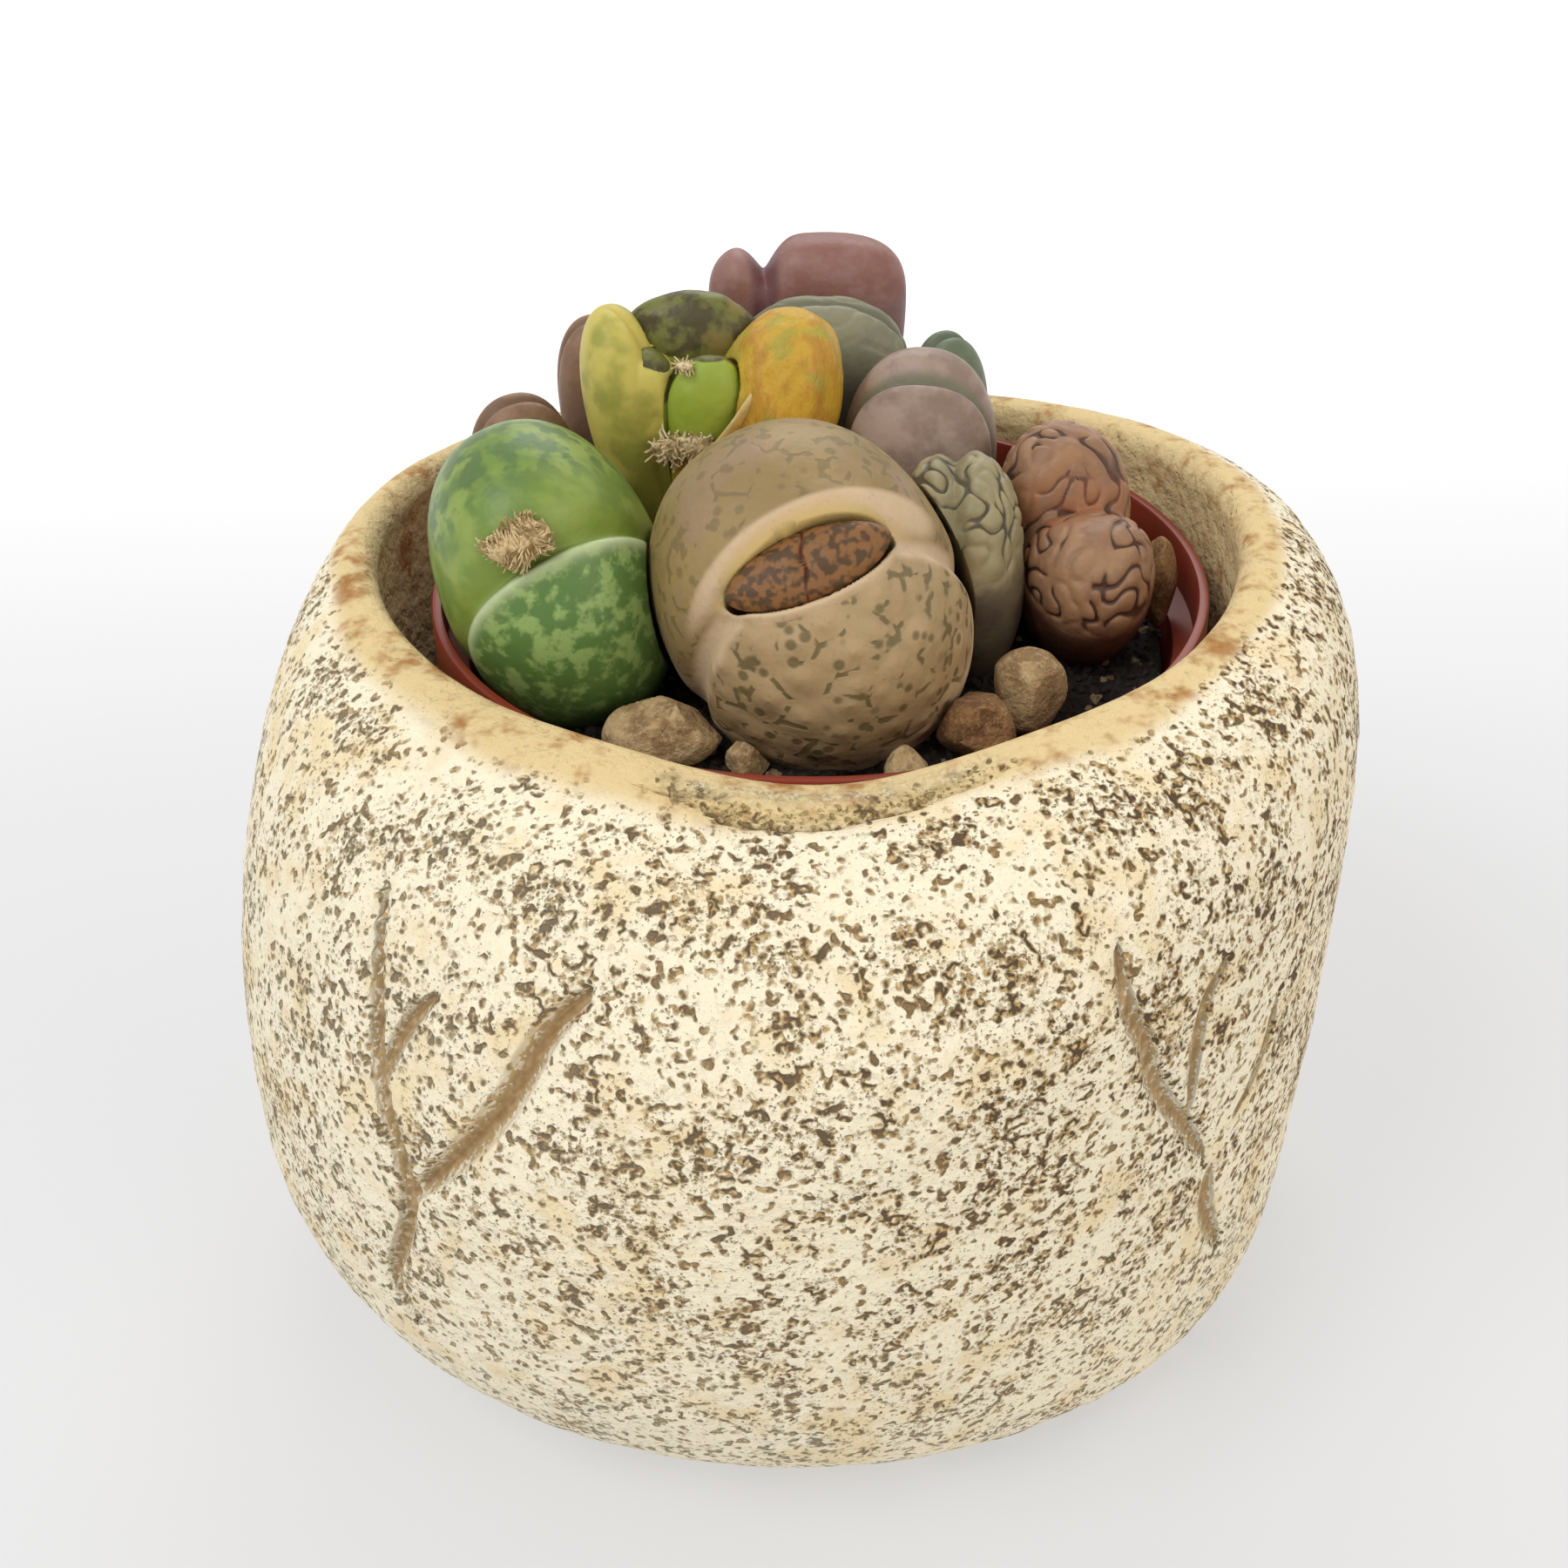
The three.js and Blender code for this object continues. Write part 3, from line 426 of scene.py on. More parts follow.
def cast_stone():
    """Cast cement, cream paint dry-brushed over a brown wash: the tops stay cream, pits and cracks brown."""
    material, put, shader, place = new_material("cast_cement_dry_brushed", Roughness=0.9, IOR=1.5)
    crack, crevice, rim, band, glaze, left = (
        put("mark", attribute_name=m) for m in ("crack", "crevice", "rim", "band", "glaze", "left")
    )
    swirl = put("less", put("noise", place, 1 / 0.6, 1.0, out="Color"), (0.5, 0.5, 0.5))
    moved = put("moved", swirl, (0.6, 0.6, 0.6), place)
    # Pits crowd together in patches 5 mm across; there are fewer where few is high, as on the rim.
    crowd = put("noise", place, 1 / 5, 1.0)
    bare = put("times", rim, put("scaled", band, -1.2, 1.0))
    few = put("plus", put("scaled", crowd, -0.3, 0.18), put("times", bare, 0.12))
    few = put("plus", few, put("scaled", left, 0.04, 0.01))
    # Short worm-like pits 0.2 mm wide: pieces of winding lines.
    winding = put("noise", moved, 1 / 1.0, 1.0)
    worms = put("step", put("size", put("minus", winding, 0.5)), 0.16, 0.0)
    pieces = put("step", put("minus", put("noise", place, 1 / 0.75, 1.0), few), 0.46, 0.58)
    worms = put("times", worms, pieces)
    # Ragged pits about 0.35 mm across, in half of the cells.
    hollow = put("cells", moved, 1 / 0.7, 1.0)
    chosen = hollow.node.outputs["Color"]
    dots = put("times", put("step", hollow, 0.5, 0.0), put("step", put("minus", chosen, few), 0.56, 0.64))
    # Broken patches where the pits run together, and specks too small to have a shape.
    patch = put("step", put("minus", put("noise", moved, 1 / 0.95, 2.0, 0.7), few), 0.58, 0.76)
    specks = put("step", put("minus", put("noise", place, 1 / 0.3, 2.0, 0.6), few), 0.52, 0.74, 0.0, 0.8)
    pits = put("either", put("either", worms, dots), put("either", patch, specks))
    pits = put("times", pits, put("step", bare, 1.0, 0.5, 0.3, 1.0))
    ragged = put("plus", pits, put("scaled", put("noise", place, 1 / 0.22, 2.0), 0.7, -0.35))
    bared = put("step", ragged, 0.2, 0.55)
    # The cores of the pits, painted darkest below, partly as painted shade.
    core = put("times", put("step", ragged, 0.6, 0.9), put("step", crowd, 0.35, 0.55, 0.6, 1.0))

    # The paint: near white, blotched with yellow, darker beside a pit, and worn to ochre on the rim.
    white = put("mix", put("noise", place, 1 / 0.5, 2.0, 0.7), "#eadebf", "#f5edd6")
    blotch = put("step", put("noise", place, 1 / 4, 2.0, 0.6), 0.46, 0.7, 0.0, 0.7)
    cream = put("mix", blotch, white, "#e6cf9f")
    near = put("step", pits, 0.0, 0.5, 0.0, 0.45)
    cream = put("mix", near, cream, "#dcc596")
    stain = put("step", put("noise", place, 1 / 3.5, 3.0, 0.7), 0.47, 0.68)
    lip = put("mix", stain, "#dbc38f", "#a8773e")
    cream = put("mix", put("step", rim, 0.3, 0.95), cream, lip)
    # The wash in the pits: warm brown, cooler and greyer on the left and low down, darkest at its core: a
    # darker wash there, deepened with painted shade in the pit.
    cool = put("step", put("noise", place, 1 / 6, 1.0), 0.42, 0.6)
    cool = put("step", put("plus", left, put("times", cool, 0.6)), 0.7, 1.5)
    wash = put("mix", cool, "#bd9a60", "#aaa486")
    depth = put("mix", cool, "#432b12", "#474a35")
    brown = put("mix", core, wash, depth)
    skin = put("mix", put("times", bared, put("scaled", left, -0.35, 0.95)), cream, brown)
    # The broad cracks stay the smooth brown of the wash, painted darker towards their middle as painted shade
    # in the groove, with a few flecks of paint on their edges.
    frayed = put("plus", crack, put("scaled", put("noise", place, 1 / 0.9, 2.0, 0.7), 0.9, -0.45))
    channel = put("mix", put("step", frayed, 0.9, 0.0), "#c4a97c", "#8a6c42")
    fleck = put("step", put("noise", place, 1 / 0.35, 2.0), 0.54, 0.6)
    channel = put("mix", put("times", fleck, put("step", crack, 0.35, 0.8)), channel, "#efe7d3")
    skin = put("mix", put("step", frayed, 1.0, 0.85), skin, channel)
    # Under the worn dip of the rim: a greyed strip with fine specks, and below it a dark brown line along the
    # crevice, brown wash darkened with painted shade under the ledge.
    scuffs = put("step", put("noise", put("stretch", place, (0.5, 1.0, 1.0)), 1 / 0.6, 2.0, 0.65), 0.4, 0.62)
    uneven = put("scaled", put("noise", place, 1 / 1.2, 2.0, 0.6), 1.6, -0.8)
    worn = put("step", put("plus", band, uneven), 0.3, 0.7)
    skin = put("mix", put("times", worn, put("scaled", scuffs, 0.5, 0.1)), skin, "#a8935f")
    flecked = put("step", put("noise", place, 1 / 0.35, 2.0, 0.7), 0.45, 0.6)
    dull = put("mix", flecked, "#92866a", "#d2c6aa")
    skin = put("mix", put("times", glaze, put("scaled", scuffs, 0.5, 0.25)), skin, dull)
    # The crevice's dark brown line: painted shade under the ledge over brown wash.
    line = put("plus", crevice, put("scaled", put("noise", place, 1 / 0.7, 2.0), 1.2, -0.6))
    skin = put("mix", put("step", line, 0.7, 0.1, 0.0, 0.7), skin, "#7a5e36")
    # The relief: pits and fine grain on low lumps, smooth in the cracks.
    height = put("scaled", pits, -1.0, put("times", put("noise", place, 1 / 0.3, 2.0, 0.6), 0.45))
    lumps = put("times", put("noise", place, 1 / 1.3, 1.0), 1.2)
    smooth = put("step", crack, 0.9, 1.4)
    height = put("times", put("plus", height, lumps), smooth)
    height = put("plus", height, put("step", crack, 0.3, 1.2, -1.2, 0.0))
    finish(put, shader, skin, height, 0.36)
    return material


def moulded_plastic():
    """Thin injection-moulded polypropylene: an even satin skin, a little dusty."""
    material, put, shader, place = new_material("moulded_polypropylene_red", Roughness=0.42, IOR=1.49)
    dusty = put("step", put("noise", place, 1 / 4, 4.0, 0.6), 0.5, 0.75)
    red = put("mix", dusty, "#85301c", "#7a3724")
    finish(put, shader, red, put("noise", place, 1 / 1.2, 2.0), 0.03)
    return material


def potting_soil():
    """Damp compost: near-black crumbs with brown fibre."""
    material, put, shader, place = new_material("potting_compost", Roughness=0.95)
    crumbs = put("noise", place, 1 / 1.1, 4.0, 0.7)
    dark = put("mix", put("step", crumbs, 0.4, 0.7), "#0f0b08", "#2c2118")
    finish(put, shader, dark, crumbs, 0.6)
    return material


def sharp_grit():
    """Crumbs of compost and washed grit: most grains are black-brown, a few are pale quartz."""
    material, put, shader, place = new_material("washed_grit", Roughness=0.85)
    shade = put("mark", attribute_name="shade")
    crumb = put("mix", put("noise", place, 1 / 0.6, 3.0), "#0e0b08", "#33271b")
    stone = put("mix", put("noise", place, 1 / 0.5, 3.0), "#5c4a34", "#9c8765")
    skin = put("mix", put("step", shade, 0.9, 0.93), crumb, stone)
    finish(put, shader, skin, put("noise", place, 1 / 0.3, 3.0), 0.08)
    return material


def broken_pebble(name, face, stain, pale):
    """Broken gravel: a sandy face with iron stains and slightly paler worn edges."""
    material, put, shader, place = new_material(name, Roughness=0.85, IOR=1.54)
    patch = put("step", put("noise", place, 1 / 1.9, 4.0, 0.6), 0.42, 0.62)
    stone = put("mix", patch, face, stain)
    worn = put("times", put("mark", attribute_name="edge"), put("noise", place, 1 / 1.2, 3.0))
    stone = put("mix", put("step", worn, 0.3, 0.7, 0.0, 0.7), stone, pale)
    sand = put("step", put("noise", place, 1 / 0.35, 2.0), 0.52, 0.64, 0.0, 0.4)
    stone = put("mix", sand, stone, pale)
    grains = put("plus", put("noise", place, 1 / 0.4, 3.0, 0.6), put("noise", place, 1 / 1.4, 3.0))
    finish(put, shader, stone, grains, 0.25)
    return material


def waxy(name, rough=0.5, glow=0.12):
    """Leaf skin under a dull bloom of wax; light sinks a little way in before it comes back."""
    material, put, shader, place = new_material(
        name, Roughness=rough, IOR=1.45, Subsurface_Weight=glow, Subsurface_Scale=0.9 * MM
    )
    shader.inputs["Subsurface Radius"].default_value = (1.0, 0.7, 0.4)
    return material, put, shader, place


def beige_skin():
    """Grey-beige skin over low cobbles, with olive dots and short arcs on them and smooth pale lips."""
    material, put, shader, place = waxy("beige_leaf_skin")
    high, back, lip, inner, pit = (
        put("mark", attribute_name=m) for m in ("high", "back", "lip", "inner", "pit")
    )
    cloud = put("noise", place, 1 / 5, 3.0)
    top = put("mix", put("step", cloud, 0.38, 0.62), "#8c7549", "#988052")
    rose = put("step", put("noise", place, 1 / 7, 2.0), 0.5, 0.64)
    top = put("mix", put("times", rose, 0.55), top, "#957a62")
    front = put("step", back, 0.2, -1.6)
    top = put("mix", put("times", front, 0.85), top, put("mix", cloud, "#a68d66", "#baa07a"))
    # The flank below the crown is painted much lighter than the top: painted light that offsets the shade low
    # on the head.
    lower = put("mix", cloud, "#dabc97", "#e2c8a6")
    skin = put("mix", put("step", put("plus", high, put("times", cloud, 0.3)), 0.1, 0.5), lower, top)
    swirl = put("noise", place, 0.8, 1.0, out="Color")
    moved = put("moved", swirl, (0.35, 0.35, 0.35), place)
    # Cobbles 2.1 mm wide; their seams show only as short arcs, with dots 0.6 mm wide scattered over them.
    seam = put("cells", moved, 1 / 2.1, 1.0, feature="DISTANCE_TO_EDGE")
    short = put("step", put("noise", place, 1 / 1.2, 1.0), 0.5, 0.58)
    arcs = put("times", put("step", seam, 0.1, 0.04), short)
    dot = put("cells", place, 1 / 1.35, 1.0)
    chosen = dot.node.outputs["Color"]
    dots = put("times", put("step", dot, 0.36, 0.18), put("step", chosen, 0.28, 0.36))
    spots = put("times", put("either", arcs, dots), put("scaled", front, 0.4, 0.6))
    spots = put("times", spots, put("times", put("step", high, 0.06, 0.25), put("step", lip, 0.5, 0.1)))
    skin = put("mix", put("times", spots, 0.78), skin, "#5c5230")
    olive = put("times", put("times", put("step", seam, 0.3, 0.0), front), put("step", cloud, 0.45, 0.6))
    skin = put("mix", put("times", olive, 0.2), skin, "#6f6a42")
    pale = put("mix", put("noise", place, 1 / 3, 2.0), "#c6aa88", "#d2bb9a")
    skin = put("mix", put("times", lip, 0.85), skin, pale)
    skin = put("mix", put("times", inner, 0.9), skin, "#c4a968")
    # The window's sunken hollow is painted dark brown: painted shade round the young pair.
    skin = put("mix", pit, skin, "#6a5230")
    freckle = put("step", put("noise", place, 1 / 0.35, 2.0), 0.6, 0.75)
    skin = put("mix", put("times", freckle, 0.2), skin, "#6f6346")
    rounded = put("cells", moved, 1 / 2.1, 1.0, feature="SMOOTH_F1")
    height = put("minus", put("times", put("noise", place, 1 / 0.6, 2.0), 0.1), put("times", rounded, front))
    finish(put, shader, skin, put("minus", height, put("times", spots, 0.08)), 0.6)
    return material


def young_skin():
    """A young pair still in shelter: pinkish, with soft dark brown mottles and a fine red slit."""
    material, put, shader, place = waxy("young_leaf_skin", 0.55)
    mottles = put("step", put("noise", place, 1 / 0.6, 1.5, 0.5), 0.42, 0.6)
    skin = put("mix", mottles, "#80562c", "#4e361a")
    skin = put("mix", put("step", put("mark", attribute_name="groove"), 0.35, 0.9), skin, "#5a2418")
    finish(put, shader, skin, put("noise", place, 1 / 0.9, 2.0), 0.1)
    return material


def green_skin():
    """Smooth green skin: the front leaf dark with soft light mottles, the back leaf lighter and streaked."""
    material, put, shader, place = waxy("green_leaf_skin", 0.42)
    high, back, ridge = (put("mark", attribute_name=m) for m in ("high", "back", "ridge"))
    spots = put("step", put("noise", place, 1 / 1.2, 3.0, 0.6), 0.45, 0.62)
    front = put("mix", put("times", spots, 0.85), "#587a3c", "#93ae66")
    low = put("step", put("plus", high, put("scaled", put("noise", place, 1 / 3, 2.0), 0.4, -0.2)), 0.0, 0.3)
    front = put("mix", low, "#466533", front)
    streak = put("noise", put("stretch", place, (0.45, 0.9, 0.9)), 1 / 2.4, 3.0)
    rear = put("mix", put("step", streak, 0.4, 0.62), "#6a8536", "#879b49")
    mottles = put("step", put("noise", place, 1 / 1.5, 3.0), 0.42, 0.58)
    rear = put("mix", put("times", put("step", back, 2.5, 6.0), mottles), rear, "#57713a")
    hollow = put("times", put("step", back, 2.4, 0.6), put("step", high, 0.3, 0.7))
    rear = put("mix", put("times", hollow, 0.7), rear, "#84973f")
    skin = put("mix", put("step", back, -0.7, -0.35), front, rear)
    skin = put("mix", put("times", ridge, 0.9), skin, "#b2bf92")
    finish(put, shader, skin, put("noise", place, 1 / 0.7, 3.0), 0.05)
    return material


def netted_skin(name, island, island_two, furrow, flank, flank_two, warm):
    """Skin raised in islands: pale islands, dark furrows between them and a smooth darker flank."""
    material, put, shader, place = waxy(name, 0.5)
    high, groove = put("mark", attribute_name="high"), put("mark", attribute_name="groove")
    cloud = put("noise", place, 1 / 2.2, 3.0, 0.6)
    top = put("mix", put("step", cloud, 0.4, 0.6), island, island_two)
    smooth = put("mix", put("step", put("noise", place, 1 / 4, 2.0), 0.4, 0.6), flank, flank_two)
    skin = put("mix", put("step", put("plus", high, put("times", cloud, 0.3)), 0.1, 0.45), smooth, top)
    skin = put("mix", put("step", put("minus", groove, put("times", cloud, 0.35)), 0.15, 0.6), skin, furrow)
    seam = put("times", put("mark", attribute_name="lip"), put("step", cloud, 0.35, 0.6))
    skin = put("mix", put("times", seam, 0.6), skin, warm)
    finish(put, shader, skin, put("noise", place, 1 / 0.5, 3.0), 0.06)
    return material


def plain_skin(name, crown, crown_two, flank, seam):
    """Plain waxy skin with soft clouds; the hollow behind the fissure is greener and darker."""
    material, put, shader, place = waxy(name, 0.5)
    high, lip = put("mark", attribute_name="high"), put("mark", attribute_name="lip")
    cloud = put("noise", place, 1 / 2.6, 3.0, 0.6)
    top = put("mix", put("step", cloud, 0.38, 0.62), crown, crown_two)
    skin = put("mix", put("step", put("plus", high, put("times", cloud, 0.4)), 0.1, 0.6), flank, top)
    skin = put("mix", put("step", lip, 0.3, 0.8, 0.0, 0.9), skin, seam)
    finish(put, shader, skin, put("noise", place, 1 / 0.6, 3.0), 0.06)
    return material


def fresh_skin():
    """A new pair: olive with dark brown mottles on top, clear bright green where it was sheltered."""
    material, put, shader, place = waxy("fresh_leaf_skin", 0.45, 0.2)
    face = put("mark", attribute_name="face")
    cloud = put("noise", place, 1 / 1.9, 3.0, 0.6)
    top = put("mix", put("step", cloud, 0.42, 0.58), "#6a6c30", "#48401f")
    top = put("mix", put("step", put("noise", place, 1 / 2.8, 2.0), 0.55, 0.66), top, "#7d6d36")
    green = put("mix", put("noise", place, 1 / 3, 2.0), "#869a30", "#a0b044")
    skin = put("mix", put("step", put("plus", face, put("scaled", cloud, 0.3, -0.15)), 0.35, 0.6), top, green)
    finish(put, shader, skin, put("noise", place, 1 / 0.6, 3.0), 0.05)
    return material


def withering_skin():
    """An old leaf drying out: yellow green on the left leaf, orange and papery on the right one."""
    material, put, shader, place = waxy("withering_leaf_skin", 0.55, 0.15)
    dry, edge = put("mark", attribute_name="dry"), put("mark", attribute_name="edge")
    green = put("mix", put("step", put("noise", place, 1 / 3, 3.0), 0.4, 0.62), "#979440", "#c2b458")
    upright = put("stretch", place, (1.0, 1.0, 0.4))
    creased = put("noise", upright, 1 / 1.3, 4.0, 0.6)
    orange = put("mix", put("step", creased, 0.42, 0.6), "#c39c30", "#b5862e")
    olive = put("step", put("noise", place, 1 / 2.6, 2.0), 0.52, 0.66)
    orange = put("mix", put("times", olive, 0.7), orange, "#9d9a3a")
    skin = put("mix", dry, green, orange)
    skin = put("mix", edge, skin, "#cdb67c")
    finish(put, shader, skin, put("times", creased, put("scaled", dry, 0.8, 0.2)), 0.45)
    return material


def dry_fibre(name, light, dark):
    """Withered flower threads and leaf paper: dull and straw coloured, in light and dark patches."""
    material, put, shader, place = new_material(name, Roughness=0.85)
    straw = put("mix", put("step", put("noise", place, 1 / 0.9, 3.0), 0.35, 0.65), dark, light)
    finish(put, shader, straw, put("noise", place, 1 / 0.25, 2.0), 0.05)
    return material


def studio_paper():
    """Matt background paper with a faint glow of its own, painted light that lightens the shadows on it; its
    colour is painted light too, fading from grey in front to white behind the object.
    """
    # The glow is painted light that lightens the shadows on the paper.
    material, put, shader, _ = new_material(
        "background_paper", Roughness=0.9, Emission_Color=colour("#ffffff"), Emission_Strength=0.45
    )
    depth = put("split", put("place"), out="Y")  # in metres
    # Painted light: the paper fades from grey in front to white behind.
    painted_light_fade = put("mix", put("step", depth, 0.0, 0.42), "#959597", "#ffffff")
    shader.id_data.links.new(painted_light_fade, shader.inputs["Base Color"])
    return material


# ---------------------------------------------------------------- the boulder pot
def wave(w, a):
    """A mean and its waves round the axis, at angle a."""
    total = np.full(np.shape(a), float(w[0]))
    for i, v in enumerate(w[1:], 1):
        total = total + v * (np.cos if i % 2 else np.sin)((i + 1) // 2 * a)
    return total


def crest_height(a):
    """Height of the rim at angle a, with its worn dip and the two shoulders beside it."""
    z = wave(CREST_HEIGHT, a)
    for at, half, rise in CREST_WEAR:
        away = np.abs((a - radians(at) + 3 * pi) % (2 * pi) - pi)
        z = z + rise * np.exp(-((away / radians(half)) ** 2))
    return z


def wall_at(a, up):
    """Points on the boulder's outer wall at angle a and way up the wall, before any wear."""
    belly, belly_z, foot = wave(WIDEST_RADIUS, a), wave(WIDEST_HEIGHT, a), wave(FOOT_RADIUS, a)
    crest, crest_z = wave(MOUTH_RADIUS, a) + LIP, crest_height(a)
    low, high = np.clip(up, 0, 1) * pi / 2, np.clip(up - 1, 0, 1) * pi / 2
    bell, top = 2 / BELLY_POWER, 2 / SHOULDER_POWER
    r_low = foot + (belly - foot) * np.sin(low) ** bell
    z_low = belly_z * (1 - np.maximum(0, np.cos(low)) ** bell)
    r_high = crest + (belly - crest) * np.maximum(0, np.cos(high)) ** top
    z_high = belly_z + (crest_z - belly_z) * np.sin(high) ** top
    r, z = np.where(up <= 1, r_low, r_high), np.where(up <= 1, z_low, z_high)
    return np.stack([r * np.cos(a), r * np.sin(a), z], -1)


def crack_line(path):
    """Points along a crack on the wall, and how open it is there."""
    count = 90  # points along it
    knots = np.array([(radians(a), up) for a, up in path])
    knots = np.concatenate([[2 * knots[0] - knots[1]], knots, [2 * knots[-1] - knots[-2]]])
    t = np.linspace(0, len(path) - 1.001, count)
    i = t.astype(int)
    f = (t - i)[:, None]
    a, b, c, d = (knots[i + k] for k in range(4))
    on = 0.5 * (2 * b + (c - a) * f + (2 * a - 5 * b + 4 * c - d) * f**2 + (3 * b - a - 3 * c + d) * f**3)
    share = np.sin(pi * np.linspace(0.01, 0.99, count)) ** 0.35
    return wall_at(on[:, 0], on[:, 1]), share


def crack_away(points, path, half):
    """How far each point lies from a crack, as a share of the crack's half-width there."""
    away = np.full(points.shape[:-1], 9.0)
    for at, share in zip(*crack_line(path)):
        away = np.minimum(away, np.linalg.norm(points - at, axis=-1) / (half * share))
    return away


def stone_pot():
    """The boulder: its wall with cracks, crevice and wear, the rolled lip, the inside and the drain hole."""
    a = turns(STONE_AROUND)
    # The rows up the wall are equally far apart, measured along its front.
    dense = np.linspace(0, 2, 400)
    front = wall_at(np.full(400, -pi / 2), dense)
    run = np.concatenate([[0], np.cumsum(np.linalg.norm(np.diff(front, axis=0), axis=1))])
    ups = np.interp(np.linspace(0, run[-1], STONE_UP), run, dense)
    mouth, crest, foot = wave(MOUTH_RADIUS, a), crest_height(a), wave(FOOT_RADIUS, a)
    under = [ring(DRAIN_RADIUS, a, 0), ring(foot - 4, a, 0), ring(foot - 1, a, 0)]
    wall = [wall_at(a, np.full_like(a, up)) for up in ups]
    lip = [
        ring(mouth + LIP * (1 - np.sin(t * pi / 2)), a, crest - 1.3 * LIP * (1 - np.cos(t * pi / 2)))
        for t in (0.2, 0.4, 0.6, 0.8, 0.95)
    ]
    inside = [ring(mouth + 0.3, a, crest + (NECK_HEIGHT - crest) * k / 8) for k in range(3, 9)]
    lower = [
        ring(mouth + (INSIDE_FOOT - mouth) * 0.8, a, 20),
        ring(INSIDE_FOOT - 0.8, a, POT_FLOOR + 3),
        ring(INSIDE_FOOT - 3, a, POT_FLOOR),
    ]
    rows = np.stack([*under, *wall, *lip, *inside, *lower, ring(DRAIN_RADIUS, a, POT_FLOOR)])
    count, first, last = len(rows), len(under), len(under) + STONE_UP
    up = np.concatenate([np.zeros(first), ups, np.full(count - last, 2.0)])[:, None] + 0 * a
    row = np.arange(count)[:, None] + 0 * a
    outer = blend(2, 8, row) * blend(last + 12, last + 2, row)  # 1 on the wall, 0 below and inside

    # Low lumps 12 mm wide and small ones 1.7 mm wide, both calmer on the rim.
    rim = blend(1.78, 1.97, up + 0.1 * (grain(rows, 6, 5) - 0.5))
    uneven = 0.5 * rough(rows, 12, 41) * (1 - 0.6 * rim) + 0.22 * rough(rows, 1.7, 31) * (1 - 0.8 * rim)
    depth = uneven * outer
    crack = np.full(rows.shape[:2], 9.0)
    for path, half, deep in CRACKS:
        away = crack_away(rows, path, half)
        share = np.exp(-(away**3) * 0.8)  # a channel with a round floor
        depth, crack = depth * (1 - share) + share * (deep + 0.3), np.minimum(crack, away)
    path, half, deep = RIM_CREVICE
    crevice = crack_away(rows, path, half)
    turn = np.degrees(np.arctan2(rows[..., 1], rows[..., 0]))
    edge = np.interp(turn[0], *np.array(path).T)[None, :]
    # The worn dip under the rim, between these angles: a hollowed band, and a scuffed strip above it.
    within = blend(-113, -104, turn) * blend(-66, -74, turn)
    band = blend(-0.015, 0.0, up - edge) * blend(0.075, 0.03, up - edge) * within
    glaze = blend(1.935, 1.965, up) * blend(1.995, 1.98, up) * within
    depth = np.maximum(depth, 0.9 * deep * np.exp(-(crevice**2))) + 0.25 * band
    rows = rows - facing(rows) * depth[..., None]
    rows[..., 2] = np.maximum(rows[..., 2], 0)
    left = blend(15, -35, rows[..., 0]) * 0.5 + blend(28, 6, rows[..., 2]) * 0.6  # the cooler, duller side
    marks = dict(crack=crack, crevice=crevice, rim=rim, band=band, glaze=glaze, left=left)
    skin = rows.reshape(-1, 3), grid_faces(count, STONE_AROUND, True), marks
    finished_piece("stone_pot_wall", skin, cast_stone(), "stone_pot")


# ---------------------------------------------------------------- the nursery pot and its soil
def nursery_pot():
    """A thin tapered wall with a ring round its mouth."""
    n = NURSERY
    foot, wall, brim, low, top = n["foot"], n["wall_top"], n["ring"], n["bottom"], n["top"]
    under_ring = top - n["ring_height"]
    profile = [
        (0.2, low), (foot - 0.8, low), (foot, low + 0.8), (wall, under_ring - 0.3),
        (wall + 0.3, under_ring), (brim - 0.25, under_ring), (brim, under_ring + 0.25),
        (brim, top - 0.3), (brim - 0.12, top - 0.08), (brim - 0.4, top), (brim - 0.68, top - 0.08),
        (brim - 0.8, top - 0.3), (brim - 0.8, top - 3.4), (brim - 1.0, top - 3.5),
        (wall - 0.8, under_ring), (foot - 0.8, low + 1.3), (foot - 1.4, low + 0.8), (0.2, low + 0.8),
    ]
    a = turns(180)
    rows = np.stack([ring(r, a, z, n["at"]) for r, z in profile])
    skin, plastic = closed_rows(rows), moulded_plastic()
    finished_piece("nursery_pot_wall", skin, plastic, "nursery_pot", sharp=40)


def soil_radius(z):
    """The compost's radius at a height: the nursery pot's inside, less a little air."""
    n = NURSERY
    share = (z - n["bottom"]) / (n["top"] - n["ring_height"] - n["bottom"])
    return n["foot"] + (n["wall_top"] - n["foot"]) * share - n["wall"] - CLEAR


def soil_and_grit():
    """The compost, a crumbly uneven heap on top, and loose crumbs and grit scattered over it."""
    n = NURSERY
    a, low = turns(220), n["bottom"] + n["wall"] + GAP
    shares = [(0.4, low), (1, low), (1, 25), (1, SOIL_TOP - 0.6)]
    shares += [(share, SOIL_TOP) for share in np.linspace(0.985, 0.02, 90)]
    rows = np.stack([ring(share * soil_radius(z), a, z, n["at"]) for share, z in shares])
    on_top = (np.arange(len(rows)) > 3)[:, None]
    clods = rough(rows, 2.2, 3, 4)
    heap = 0.25 + 0.3 * furrows(rows - [*n["at"], SOIL_TOP], 9)
    rows[..., 2] += on_top * (heap + 1.6 * (clods - 0.55))
    soil = finished_piece("compost", closed_rows(rows), potting_soil(), "soil")
    sizes = dict(Spacing=0.86 * MM, Smallest=0.22 * MM, Largest=0.6 * MM, Seed=4)
    hand_over(grown("grit_on_compost", soil, grit_tree(), sizes, sharp_grit()))


# ---------------------------------------------------------------- leaves
def unit(v):
    """The same direction, one long."""
    return v / np.linalg.norm(v)


def axes_of(h):
    """Foot, height and the three directions of a head: along the fissure, across it and up its axis."""
    foot = np.array([*h["foot"], SOIL_TOP][:3], float)
    rise = np.array(h["tip"]) - foot
    w = unit(rise)
    u = np.array([cos(radians(h["turn"])), sin(radians(h["turn"])), 0.0])
    u = unit(u - u @ w * w)
    return foot, np.linalg.norm(rise), u, np.cross(w, u), w


